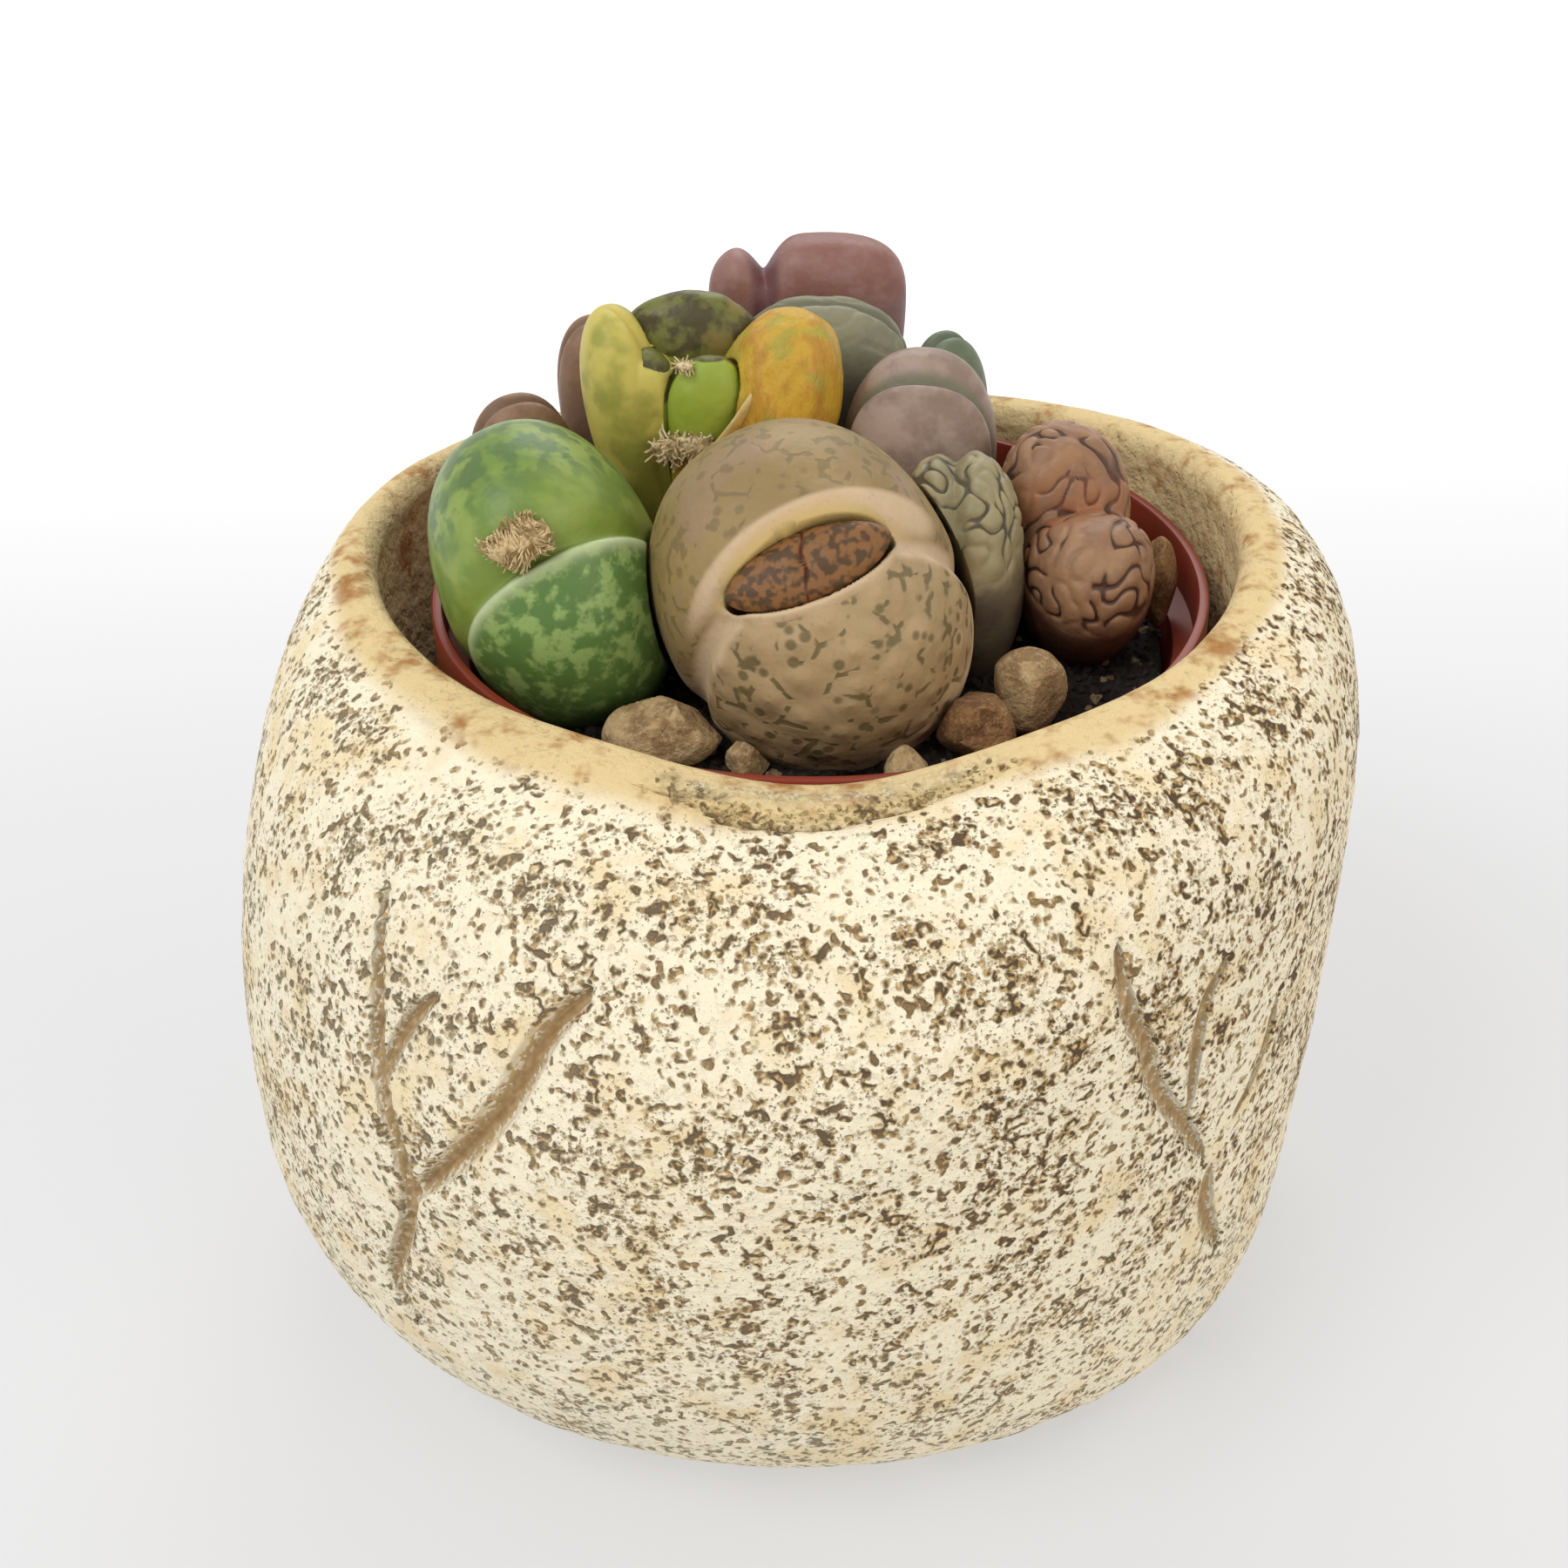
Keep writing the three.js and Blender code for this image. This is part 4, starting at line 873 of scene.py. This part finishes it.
def profile_of(h, flank, crown, stem):
    """Width share and height share of each row, from the stem to the crown."""
    tall = axes_of(h)[1]
    t = np.linspace(0, 1, flank + 1)
    low = np.stack([1 - (1 - h["neck"]) * (1 - t) ** 1.7, h["shoulder"] * t], -1)
    e = np.linspace(0, pi / 2, crown + 1)[1:-1]
    d = 2 / h["dome"]
    high = np.stack([np.cos(e) ** d, h["shoulder"] + (1 - h["shoulder"]) * np.sin(e) ** d], -1)
    near_top = np.array([[s, 1 - 0.02 * s] for s in (0.08, 0.03)])
    high = high[high[:, 0] > 0.11]
    return np.concatenate([[[h["neck"] * 0.9, -stem / tall]], low, high, near_top])


def leaf_grid(h, around, flank, crown, stem=STEM_DEPTH):
    """A head's grid in its own directions, with the marks that its skin is coloured by."""
    tall = axes_of(h)[1]
    rho, up = profile_of(h, flank, crown, stem).T[:, :, None]
    s = turns(around)
    a = s - 0.15 * np.sin(2 * s)  # points gather at the two ends of the fissure
    power = lambda x: np.sign(x) * np.abs(x) ** (2 / h["plan"])
    u = h["long"] / 2 * rho * power(np.cos(a))
    v = h["wide"] / 2 * rho * power(np.sin(a))
    high = np.maximum(0, up) + 0 * u
    back = v - h["offset"] - h["skew"] * u - h["bow"] * u**2  # how far behind the fissure, in millimetres
    ledge = h["ledge"]
    half = h["cleft_half"] * np.where(back < 0, 1 - 0.45 * ledge, 1 + 0.25 * ledge)
    valley = np.exp(-(np.abs(back / half) ** 1.5))
    part = np.exp(-((back / h["cleft_half"]) ** 2))
    # The two leaves part: notched at both ends of the fissure, cut down along it, raised at the back.
    u = u * (1 - h["notch"] * part * np.minimum(1, high / h["shoulder"]))
    w = tall * up - h["cleft"] * valley * high**2 + h["lift"] * v / (h["wide"] / 2) * high**2
    # The front leaf's edge: straightened by the brow, and raised to a thin pale ridge.
    brow = h["brow"] * (2 * u / h["long"]) ** 2 * blend(0.3, 0.6, high)
    w = w + brow * np.exp(-(((back + 0.7) / np.where(back < -0.7, 2.6, 0.6)) ** 2))
    ridge = ledge * np.exp(-(((back + 1.1) / 0.45) ** 2)) * blend(0.35, 0.7, high)
    v = v + h["splay"] * np.sign(back) * (1 - part) * high**2
    marks = dict(
        high=np.clip((high - h["shoulder"]) / (1 - h["shoulder"]), 0, 1),
        back=back,
        lip=np.exp(-((back / (1.1 * half)) ** 2)) * blend(0.3, 0.8, high),
        ridge=ridge,
        groove=0 * high,
    )
    return np.stack([u, v, w + 0.3 * ridge], -1), marks


def furrowed(grid, marks, h, pitch, relief):
    """Cuts narrow wandering furrows with rounded islands between; here and there two islands join."""
    tall = axes_of(h)[1]
    # The pattern is bent a little, so that no furrow runs straight, and cut at right angles to the skin.
    p = grid + 0.8 * pitch * np.stack([rough(grid, 1.5 * pitch, s, 2) - 0.5 for s in (51, 52, 53)], -1)
    ripple = furrows(p, pitch) + 0.35 * (rough(p, 0.9 * pitch, 9) - 0.5)
    alive = blend(0.3, 0.55, grain(p, 0.9 * pitch, 17))
    slope = np.abs(ripple)
    groove = np.exp(-((slope / 0.3) ** 2)) * (0.12 + 0.88 * alive)
    fade = blend(0.02, 0.3, marks["high"] + 0.12 * (grain(p, 3, 5) - 0.5))
    middle = np.array([0, 0, 0.45 * tall])
    out = grid - middle
    out = out / np.maximum(np.linalg.norm(out, axis=-1, keepdims=True), 1e-6)
    depth = relief * (0.75 * groove + 0.5 * np.exp(-((slope / 0.8) ** 2))) * fade
    marks["groove"] = np.exp(-((slope / 0.36) ** 2)) * (0.3 + 0.7 * alive) * fade
    return grid - out * depth[..., None]


def placed(grid, h):
    """A head's grid, moved from its own directions to its place in the pot."""
    foot, _, u, v, w = axes_of(h)
    return foot + grid[..., :1] * u + grid[..., 1:2] * v + grid[..., 2:] * w


def give_way(points, other):
    """Moves points that lie inside a neighbouring head out to just clear of its side."""
    foot, tall, u, v, w = axes_of(other)
    off = points - foot
    a, b, c = off @ u, off @ v, off @ w
    rho, up = profile_of(other, 12, 24, STEM_DEPTH).T
    width = np.interp(c / tall, up, rho, left=rho[0], right=0.0)
    size = np.abs(a / (other["long"] / 2)) ** other["plan"] + np.abs(b / (other["wide"] / 2)) ** other["plan"]
    size = np.maximum(size ** (1 / other["plan"]), 1e-6)
    reach = np.maximum(np.hypot(a, b), 0.5)
    needed = width + size * CLEAR / reach
    grow = np.where((size < needed) & (c < tall * 0.97), needed / size, 1.0)
    return points + ((grow - 1) * a)[..., None] * u + ((grow - 1) * b)[..., None] * v


def head(name, material, around, flank, crown, net=None, shape=None):
    """One head; net is the pitch and depth of its furrows, and shape changes its grid."""
    h = LEAVES[name]
    grid, marks = leaf_grid(h, around, flank, crown)
    if net:
        grid = furrowed(grid, marks, h, *net)
    if shape:
        grid = shape(grid, marks)
    points = placed(grid, h)
    for other in PRESSED_BY.get(name, []):
        points = give_way(points, LEAVES[other])
    finished_piece(f"{name}_leaves", closed_rows(points, marks), material, name)


def in_window(u, v):
    """Along and across the almond window, from its middle."""
    t = radians(WINDOW["tilt"])
    p, q = u - WINDOW["along"], v - WINDOW["across"]
    return p * cos(t) + q * sin(t), q * cos(t) - p * sin(t)


def almond_share(p, q):
    """1 at the middle of the window, 0 on its outline; its upper edge arches more to the right."""
    long, wide = WINDOW["long"], WINDOW["wide"]
    s = np.clip(p / (long / 2), -1, 1)
    bulge = np.where(q > 0, (1 + 0.22 * s) * (1 - s * s) ** 0.5, (1 - s * s) ** 0.62)
    half = wide / 2 * bulge
    over = np.maximum(0, np.abs(p) - long / 2)
    return np.where(np.abs(p) < long / 2, half - np.abs(q), -np.hypot(over, q)) / (wide / 2)


def torn_window(grid, marks):
    """Opens the window in the fissure: a thin lip in front, a broad smooth one behind."""
    u, v = grid[..., 0].copy(), grid[..., 1].copy()
    p, q = in_window(u, v)
    inside = almond_share(p, q)
    away = -inside * WINDOW["wide"] / 2
    top = blend(0.1, 0.3, marks["high"])
    behind = blend(-0.5, 0.7, q)
    thin = np.exp(-(((away - 0.35) / 0.3) ** 2)) * (1 - behind)
    broad = np.exp(-(((away - 1.3) / 0.9) ** 2)) * behind
    grid = grid.copy()
    grid[..., 2] += (0.3 * thin + 0.3 * broad - WINDOW["deep"] * blend(-0.06, 0.16, inside)) * top
    oval = 1 - ((u - 0.3) / 8.6) ** 2 - ((v + 0.7) / 3.1) ** 2
    crease = blend(1.5, 0.7, np.abs(marks["back"] + 0.3))
    front_lip = np.maximum(blend(0.95, 0.45, away), crease)
    marks["lip"] = np.maximum(behind * blend(-0.05, 0.2, oval), (1 - behind) * front_lip) * top
    marks["inner"] = behind * blend(1.3, 0.2, away) * top
    # pit marks the window's sunken hollow, where the skin is painted dark as painted shade.
    marks["pit"] = blend(0.0, 0.2, inside) * top
    return grid


def young_pair():
    """The next pair of leaves, seen through the window: a low mottled dome with its own fine slit."""
    h = LEAVES["centre_head"]
    tall = axes_of(h)[1]
    long, wide = WINDOW["long"] - 0.5 * GAP, WINDOW["wide"] - 0.3 * GAP
    deep = WINDOW["deep"] - 2 * GAP - YOUNG_INSET / 2
    t = np.linspace(-pi / 2 + 0.06, pi / 2 - 0.02, 60)[:, None]
    a = turns(160)
    dome = np.cos(t) ** 0.7
    p = long / 2 * dome * np.cos(a)
    q = wide / 2 * dome * np.sign(np.sin(a)) * np.abs(np.sin(a)) ** 1.2
    level = tall - h["cleft"] - YOUNG_INSET / 2
    w = level + deep * np.sin(t) * 0.55 + 0 * p
    seen = w > level
    slit = np.exp(-(((p + 0.2 - 0.25 * q + 0.1 * np.sin(3 * q)) / 0.12) ** 2))
    w = w + (0.12 * (rough(np.stack([p, q, w], -1), 1.3, 5) - 0.5) - 0.3 * slit) * seen
    t = radians(WINDOW["tilt"])
    u = WINDOW["along"] + p * cos(t) - q * sin(t)
    v = WINDOW["across"] + p * sin(t) + q * cos(t)
    skin = closed_rows(placed(np.stack([u, v, w], -1), h), dict(groove=slit * seen))
    finished_piece("young_pair_leaves", skin, young_skin(), "young_pair")


# ---------------------------------------------------------------- the splitting head
def joined(parts):
    """Points, faces and marks of several closed skins as one mesh."""
    points, faces, marks, count = [], [], [], 0
    for more, its_faces, its_marks in parts:
        points.append(more)
        faces += [[i + count for i in face] for face in its_faces]
        marks.append(its_marks)
        count += len(more)
    return np.concatenate(points), faces, {m: np.concatenate([k[m] for k in marks]) for m in marks[0]}


def lobe(name, around, rows, stem, edit=None, clear=()):
    """One leaf of the splitting head, kept clear of the leaves named in clear."""
    h = LEAVES[name]
    grid, marks = leaf_grid(h, around, rows, 2 * rows, stem)
    marks.update(dry=0 * marks["high"], edge=0 * marks["high"], face=0 * marks["high"])
    if edit:
        grid = edit(grid, marks)
    points = placed(grid, h)
    for other in clear:
        points = give_way(points, LEAVES[other])
    return closed_rows(points, marks)


def sideways(grid):
    """The way out from a lobe's axis."""
    return grid * [1, 1, 0] / np.maximum(np.hypot(grid[..., :1], grid[..., 1:2]), 0.3)


def shrivelled(grid, marks):
    """The right old leaf: a hollow yellow shell, creased from top to bottom."""
    creases = rough(grid * [1, 1, 0.35], 2.2, 4, 3) - 0.5
    marks["dry"] += 1
    return grid + sideways(grid) * (1.1 * creases * blend(0.2, 0.6, marks["high"] + 0.3))[..., None]


def flowing(grid, marks):
    """The left old leaf: plump still, with one long fold down its inner side."""
    turn = np.arctan2(grid[..., 1], grid[..., 0])
    fold = np.exp(-(((turn + 2.3) / 0.22) ** 2))
    return grid - sideways(grid) * (0.45 * fold)[..., None]


def turned_edge():
    """The torn edge of the right old leaf, folded over the foot of the new pair."""
    t = np.linspace(0, 1, 30)[:, None]
    a = turns(36)
    along, through = np.cos(a), np.sin(a)
    start, end = np.array([-2.6, 4.7, 64.4]), np.array([-8.0, 2.7, 57.2])
    rim = start + (end - start) * t + np.array([0.5, -0.5, 0.2]) * np.sin(pi * t)
    wide = 1.8 + 1.1 * np.sin(pi * t) + 0.8 * t
    # A flat strip from start to end: wide one way, thin and crumpled the other.
    across = unit(np.array([0.86, 0.45, 0.2]))
    out = unit(np.array([-0.25, -0.9, 0.35]))
    crumple = 0.25 * (rough(np.stack([along * wide, through + 0 * t, 12 * t + 0 * a], -1), 1.4, 3) - 0.5)
    rows = rim[:, None] + ((along + 1) * wide)[..., None] * across
    rows = rows + (0.22 * through + crumple + 0.35 * np.exp(-(((along + 0.8) / 0.3) ** 2)))[..., None] * out
    marks = dict(dry=1 + 0 * along * t, edge=blend(-0.35, -0.85, along) * 0.9 + 0 * t)
    for other in ("high", "back", "lip", "ridge", "groove", "face"):
        marks[other] = 0 * along * t
    return closed_rows(rows[::-1], {m: v[::-1] for m, v in marks.items()})


def old_leaves():
    """The old pair, burst apart by the new one; the right leaf has already shrivelled."""
    parts = [
        lobe("old_base", 90, 14, STEM_DEPTH),
        lobe("old_left", 110, 28, NEW_STEM, flowing, NEW_PAIR),
        lobe("old_right", 150, 34, NEW_STEM, shrivelled, NEW_PAIR),
        turned_edge(),
    ]
    finished_piece("old_leaf_pair", joined(parts), withering_skin(), "splitting_head_old_leaves")


def sheltered(grid, marks):
    """Bright green where the leaf was pressed against its partner, brown on its end."""
    front = blend(0.4, -0.6, grid[..., 1])
    marks["face"] += front * blend(1.02, 0.93, marks["high"])
    return grid + 0.25 * (rough(grid, 1.6, 8) - 0.5)[..., None]


def mottled_back(grid, marks):
    """A dark mottled end over a flank that stays green."""
    marks["face"] += blend(0.5, 0.15, marks["high"]) * 0.9
    return grid + 0.4 * (rough(grid, 2.4, 6) - 0.5)[..., None]


def new_leaves():
    """The new pair, three lobes of it in sight."""
    parts = [
        lobe("new_back", 130, 26, NEW_STEM, mottled_back),
        lobe("new_left", 90, 22, NEW_STEM, mottled_back),
        lobe("new_right", 100, 24, NEW_STEM, sheltered),
    ]
    finished_piece("new_leaf_pair", joined(parts), fresh_skin(), "splitting_head_new_leaves")


# ---------------------------------------------------------------- pebbles
def stone_chance(seed):
    """A repeatable number from 0 to 1, the same as the part's pebbles are cut by."""
    s = sin(seed * 127.1 + 11.7) * 43758.5453
    return s - np.floor(s)


def pebble(number, place, half_sizes, turn, seed, material):
    """A ball cut by a few flats, its edges worn round, and a little uneven all over."""
    way_out = ball(*PEBBLE_POINTS, 0.03)
    flats = []
    for i in range(FLATS):
        up = 1.8 * stone_chance(seed * 9 + i) - 0.9
        way = 2 * pi * stone_chance(seed * 17 + i * 3)
        level = (1 - up * up) ** 0.5
        faced = np.array([level * cos(way), level * sin(way), up])
        flats.append((faced, 0.66 + 0.18 * stone_chance(seed + i)))
    reach = np.stack([d / np.maximum(1e-6, way_out @ n) for n, d in flats] + [np.ones(PEBBLE_POINTS)])
    soft = -np.log(np.exp(-40 * reach).sum(0)) / 40  # a soft minimum rounds the worn edges
    near = np.sort(reach, axis=0)
    edge = blend(0.1, 0.0, near[1] - near[0])
    uneven = 0.06 * (rough(way_out * 3 + seed, 0.8, seed, 4) - 0.5)
    body = way_out * (soft + uneven)[..., None] * half_sizes
    points = body @ np.array(Matrix.Rotation(radians(-turn), 3, "Z")) + place
    if number <= UNDER_CENTRE_HEAD:
        points = give_way(points, LEAVES["centre_head"])
    skin = closed_rows(points, dict(edge=edge))
    finished_piece(f"broken_pebble_{number}", skin, material, f"pebble_{number}")


# ---------------------------------------------------------------- what grows and scatters by rule
def grown(name, source, tree, values, material):
    """Runs a Geometry Nodes tree on a source piece and keeps the result as a plain mesh."""
    grow = source.modifiers.new("grow", "NODES")
    grow.node_group = tree
    by_name = {s.name: s.identifier for s in tree.interface.items_tree if s.in_out == "INPUT"}
    for label, value in {**values, "Material": material}.items():
        grow[by_name[label]] = value
    made = bpy.data.meshes.new_from_object(source.evaluated_get(bpy.context.evaluated_depsgraph_get()))
    source.modifiers.remove(grow)
    made.name = name
    piece = bpy.data.objects.new(name, made)
    bpy.context.scene.collection.objects.link(piece)
    return piece


def new_tree(name, inputs):
    """An empty geometry tree with a Geometry input, the named inputs and a Geometry output."""
    tree = bpy.data.node_groups.new(name, "GeometryNodeTree")
    tree.interface.new_socket("Geometry", in_out="INPUT", socket_type="NodeSocketGeometry")
    for label, kind in {**inputs, "Material": "Material"}.items():
        tree.interface.new_socket(label, in_out="INPUT", socket_type=f"NodeSocket{kind}")
    tree.interface.new_socket("Geometry", in_out="OUTPUT", socket_type="NodeSocketGeometry")
    start = tree.nodes.new("NodeGroupInput")
    return tree, partial(add, tree), {s.name: s for s in start.outputs}


def finish_tree(tree, put, geometry, given):
    """Ends a tree: real geometry, its material, and the output."""
    dressed = put("dress", put("real", geometry), None, given["Material"])
    end = tree.nodes.new("NodeGroupOutput")
    tree.links.new(dressed, end.inputs[0])
    return tree


PLENTY = 5e7  # tries a square metre, far more than the spacing lets stand


def grit_tree():
    """Scatters broken grains over the upper faces of the soil, each with its own shade, size and turn."""
    sizes = dict.fromkeys(("Spacing", "Smallest", "Largest"), "Float")
    tree, put, given = new_tree("scattered_grit", {**sizes, "Seed": "Int"})
    upward = put("larger", put("split", put("normal"), out="Z"), 0.4)
    points = put("scatter", given["Geometry"], given["Spacing"], PLENTY, given["Seed"], upward)
    shaded = put("store", points, "shade", put("random", 0.0, 1.0, 3))
    lumps = put("less", put("noise", None, 0.9, 1.0, out="Color"), (0.5, 0.5, 0.5))
    crumb = put("shift", put("ball", 1.0, 2), put("longer", lumps, 1.8))
    turn = put("random three", (0, 0, 0), (6.28, 6.28, 6.28), 5)
    size = put("random", given["Smallest"], given["Largest"], 7)
    scale = put("longer", put("random three", (0.6, 0.6, 0.5), (1.2, 1.2, 0.9), 9), size)
    return finish_tree(tree, put, put("on points", shaded, crumb, turn, scale), given)


THREAD_SIZES = ("Length", "Thickness", "Curl", "Spacing")


def thread_tree():
    """Curled dry threads growing out of a small core."""
    tree, put, given = new_tree("curled_threads", {**dict.fromkeys(THREAD_SIZES, "Float"), "Seed": "Int"})
    points = put("scatter", given["Geometry"], given["Spacing"], PLENTY, given["Seed"])
    outward = points.node.outputs["Rotation"]
    thread = put("resample", put("line", (0, 0, 0), (0, 0, 1)), 11)
    long = put("times", put("random", 0.45, 1.2, 5), given["Length"])
    spin = put("random three", (-0.8, -0.8, -3), (0.8, 0.8, 3), 8)
    threads = put("real", put("turn", put("on points", points, thread, outward, long), spin))
    along = put("along")
    # Waves 1.3 mm long bend each thread, more towards its end.
    wind = put("less", put("noise", put("position"), 750.0, 1.5, out="Color"), (0.5, 0.5, 0.5))
    bend = put("longer", wind, put("times", along, given["Curl"]))
    curled = put("thin", put("shift", threads, bend), put("range", along, 0.0, 1.0, 1.0, 0.3))
    tube = put("tube", curled, put("circle", 5, given["Thickness"]), True)
    return finish_tree(tree, put, tube, given)


# ---------------------------------------------------------------- make everything
def tuft(name, middle, sizes, axes, straw, tree, threads, seed):
    """A small squashed core, and threads of the given sizes growing out of it."""
    points, faces, _ = closed_rows(ball(14, 20, 0.05) * sizes @ np.array(axes) + middle)
    core = make_piece(f"{name}_core", points + CENTRE, faces, straw)
    values = {label: size * MM for label, size in zip(THREAD_SIZES, threads)}
    return core, grown(f"{name}_threads", core, tree, {**values, "Seed": seed}, straw)


def dried_flower_and_fibres():
    """The withered flower, and the torn leaf paper round the splitting head's foot and on its new leaf."""
    h = LEAVES["green_head"]
    _, tall, u, v, w = axes_of(h)
    middle = placed(np.array([FLOWER["along"], FLOWER["across"], tall + FLOWER["above"]]), h)
    straw = dry_fibre("withered_flower_threads", "#dcc698", "#94794c")
    paper = dry_fibre("torn_leaf_paper", "#d8c8a2", "#a88f60")
    tree, flat = thread_tree(), np.eye(3)
    for name, at, sizes, axes, material, threads, seed, node in (
        ("flower", middle, (2.0, 1.2, 1.0), (u, v, w), straw, (0.36, 0.05, 3.6, 0.15), 2, "dried_flower"),
        ("torn_paper", (-8.6, 3.5, 58.3), (2.3, 0.5, 0.8), flat, paper, (0.7, 0.08, 1.6, 0.26), 5, None),
        ("leaf_end", (-8.4, 4.0, 64.0), (0.6, 0.4, 0.3), flat, paper, (0.4, 0.06, 1.0, 0.25), 7, None),
    ):
        core, curled = tuft(name, at, sizes, axes, material, tree, threads, seed)
        hand_over(core, node)
        hand_over(curled)


def all_heads():
    """Every head: its skin, a slot that nothing uses, its points round it, up its flank and over its crown,
    and its net.
    """
    head("centre_head", beige_skin(), 250, 40, 110, None, torn_window)
    head("green_head", green_skin(), 200, 34, 80)
    skins = {}
    for kind, word, *colours in (
        (netted_skin, "pink", "#8a674c", "#9a7656", "#4a3022", "#64412f", "#553426", "#96552f"),
        (netted_skin, "grey_green", "#8b8260", "#978c68", "#524838", "#50473c", "#605547", "#6a6244"),
        (plain_skin, "mauve", "#897467", "#9f8b7e", "#6d5b55", "#6f7058"),
        (plain_skin, "sage", "#86836a", "#767660", "#6c6a5a", "#636450"),
        (plain_skin, "plum", "#84594f", "#8f6a62", "#7d6163", "#6a4346"),
        (plain_skin, "dark", "#6f7a62", "#5f6b54", "#626c58", "#55604a"),
        (plain_skin, "brown", "#8a6a52", "#7a5c44", "#806450", "#6b5038"),
    ):
        skins[word] = kind(f"{word}_leaf_skin", *colours)
    for name, word, slot, around, flank, crown, *net in (
        ("pink_head", "pink", "leaf_pink", 280, 36, 90, 2.0, 0.27),
        ("grey_green_head", "grey_green", "leaf_grey", 240, 34, 80, 2.2, 0.3),
        ("mauve_head", "mauve", "leaf_mauve", 160, 30, 60),
        ("sage_head", "sage", "leaf_grey", 170, 30, 50, 3.2, 0.12),
        ("tall_head", "plum", "leaf_mauve", 150, 30, 44),
        ("small_dark_head", "dark", "leaf_dark", 90, 20, 24),
        ("brown_head", "brown", "leaf_brown", 96, 22, 30),
        ("low_brown_head", "brown", "leaf_brown", 96, 22, 30),
    ):
        head(name, skins[word], around, flank, crown, net)


def pebbles():
    """Sandy gravel, every third stone stained by iron."""
    tan = broken_pebble("tan_broken_gravel", "#b3986c", "#8b6e48", "#cdb78e")
    iron = broken_pebble("iron_stained_gravel", "#8f6a3e", "#6d4a2a", "#b08a5c")
    for number, stone in enumerate(PEBBLES, 1):
        pebble(number, *stone, tan if number % 3 else iron)


def floor_lights_camera():
    """The table, three soft lamps in a white room, and the camera."""
    corners = [(x * TABLE_HALF, y * TABLE_HALF, 0) for x, y in ((-1, -1), (1, -1), (1, 1), (-1, 1))]
    make_piece("studio_floor", corners, [(0, 1, 2, 3)], studio_paper())
    world = bpy.data.worlds.new("soft_room")
    world.use_nodes = True
    room = world.node_tree.nodes["Background"].inputs
    room["Color"].default_value, room["Strength"].default_value = colour("#ffffff"), ROOM_LIGHT
    bpy.context.scene.world = world
    bpy.context.scene.view_settings.view_transform = "Standard"
    for name, at, aim, size, watts, tint in LAMPS:
        data = bpy.data.lights.new(name, "AREA")
        data.shape, data.size, data.energy = "DISK", size, watts
        data.color = colour(tint)[:3]
        lamp = bpy.data.objects.new(name, data)
        toward = (Vector(aim) - Vector(at)).to_track_quat("-Z", "Y")
        lamp.matrix_world = Matrix.Translation(at) @ toward.to_matrix().to_4x4()
        bpy.context.scene.collection.objects.link(lamp)
    pitch, roll = radians(CAMERA_DOWN), radians(CAMERA_LEAN)
    ahead = Vector((0, cos(pitch), -sin(pitch)))
    right = Vector((1, 0, 0))
    upward = right.cross(ahead)
    image_right = right * cos(roll) - upward * sin(roll)
    image_up = upward * cos(roll) + right * sin(roll)
    data = bpy.data.cameras.new("camera")
    data.lens, data.sensor_width, data.clip_start = LENS, SENSOR, 0.005
    camera = bpy.data.objects.new("camera", data)
    turn = Matrix((image_right, image_up, -ahead)).transposed().to_4x4()
    camera.matrix_world = Matrix.Translation(CAMERA_PLACE) @ turn
    bpy.context.scene.collection.objects.link(camera)
    bpy.context.scene.camera = camera


floor_lights_camera()
stone_pot()
nursery_pot()
soil_and_grit()
all_heads()
young_pair()
old_leaves()
new_leaves()
dried_flower_and_fibres()
pebbles()
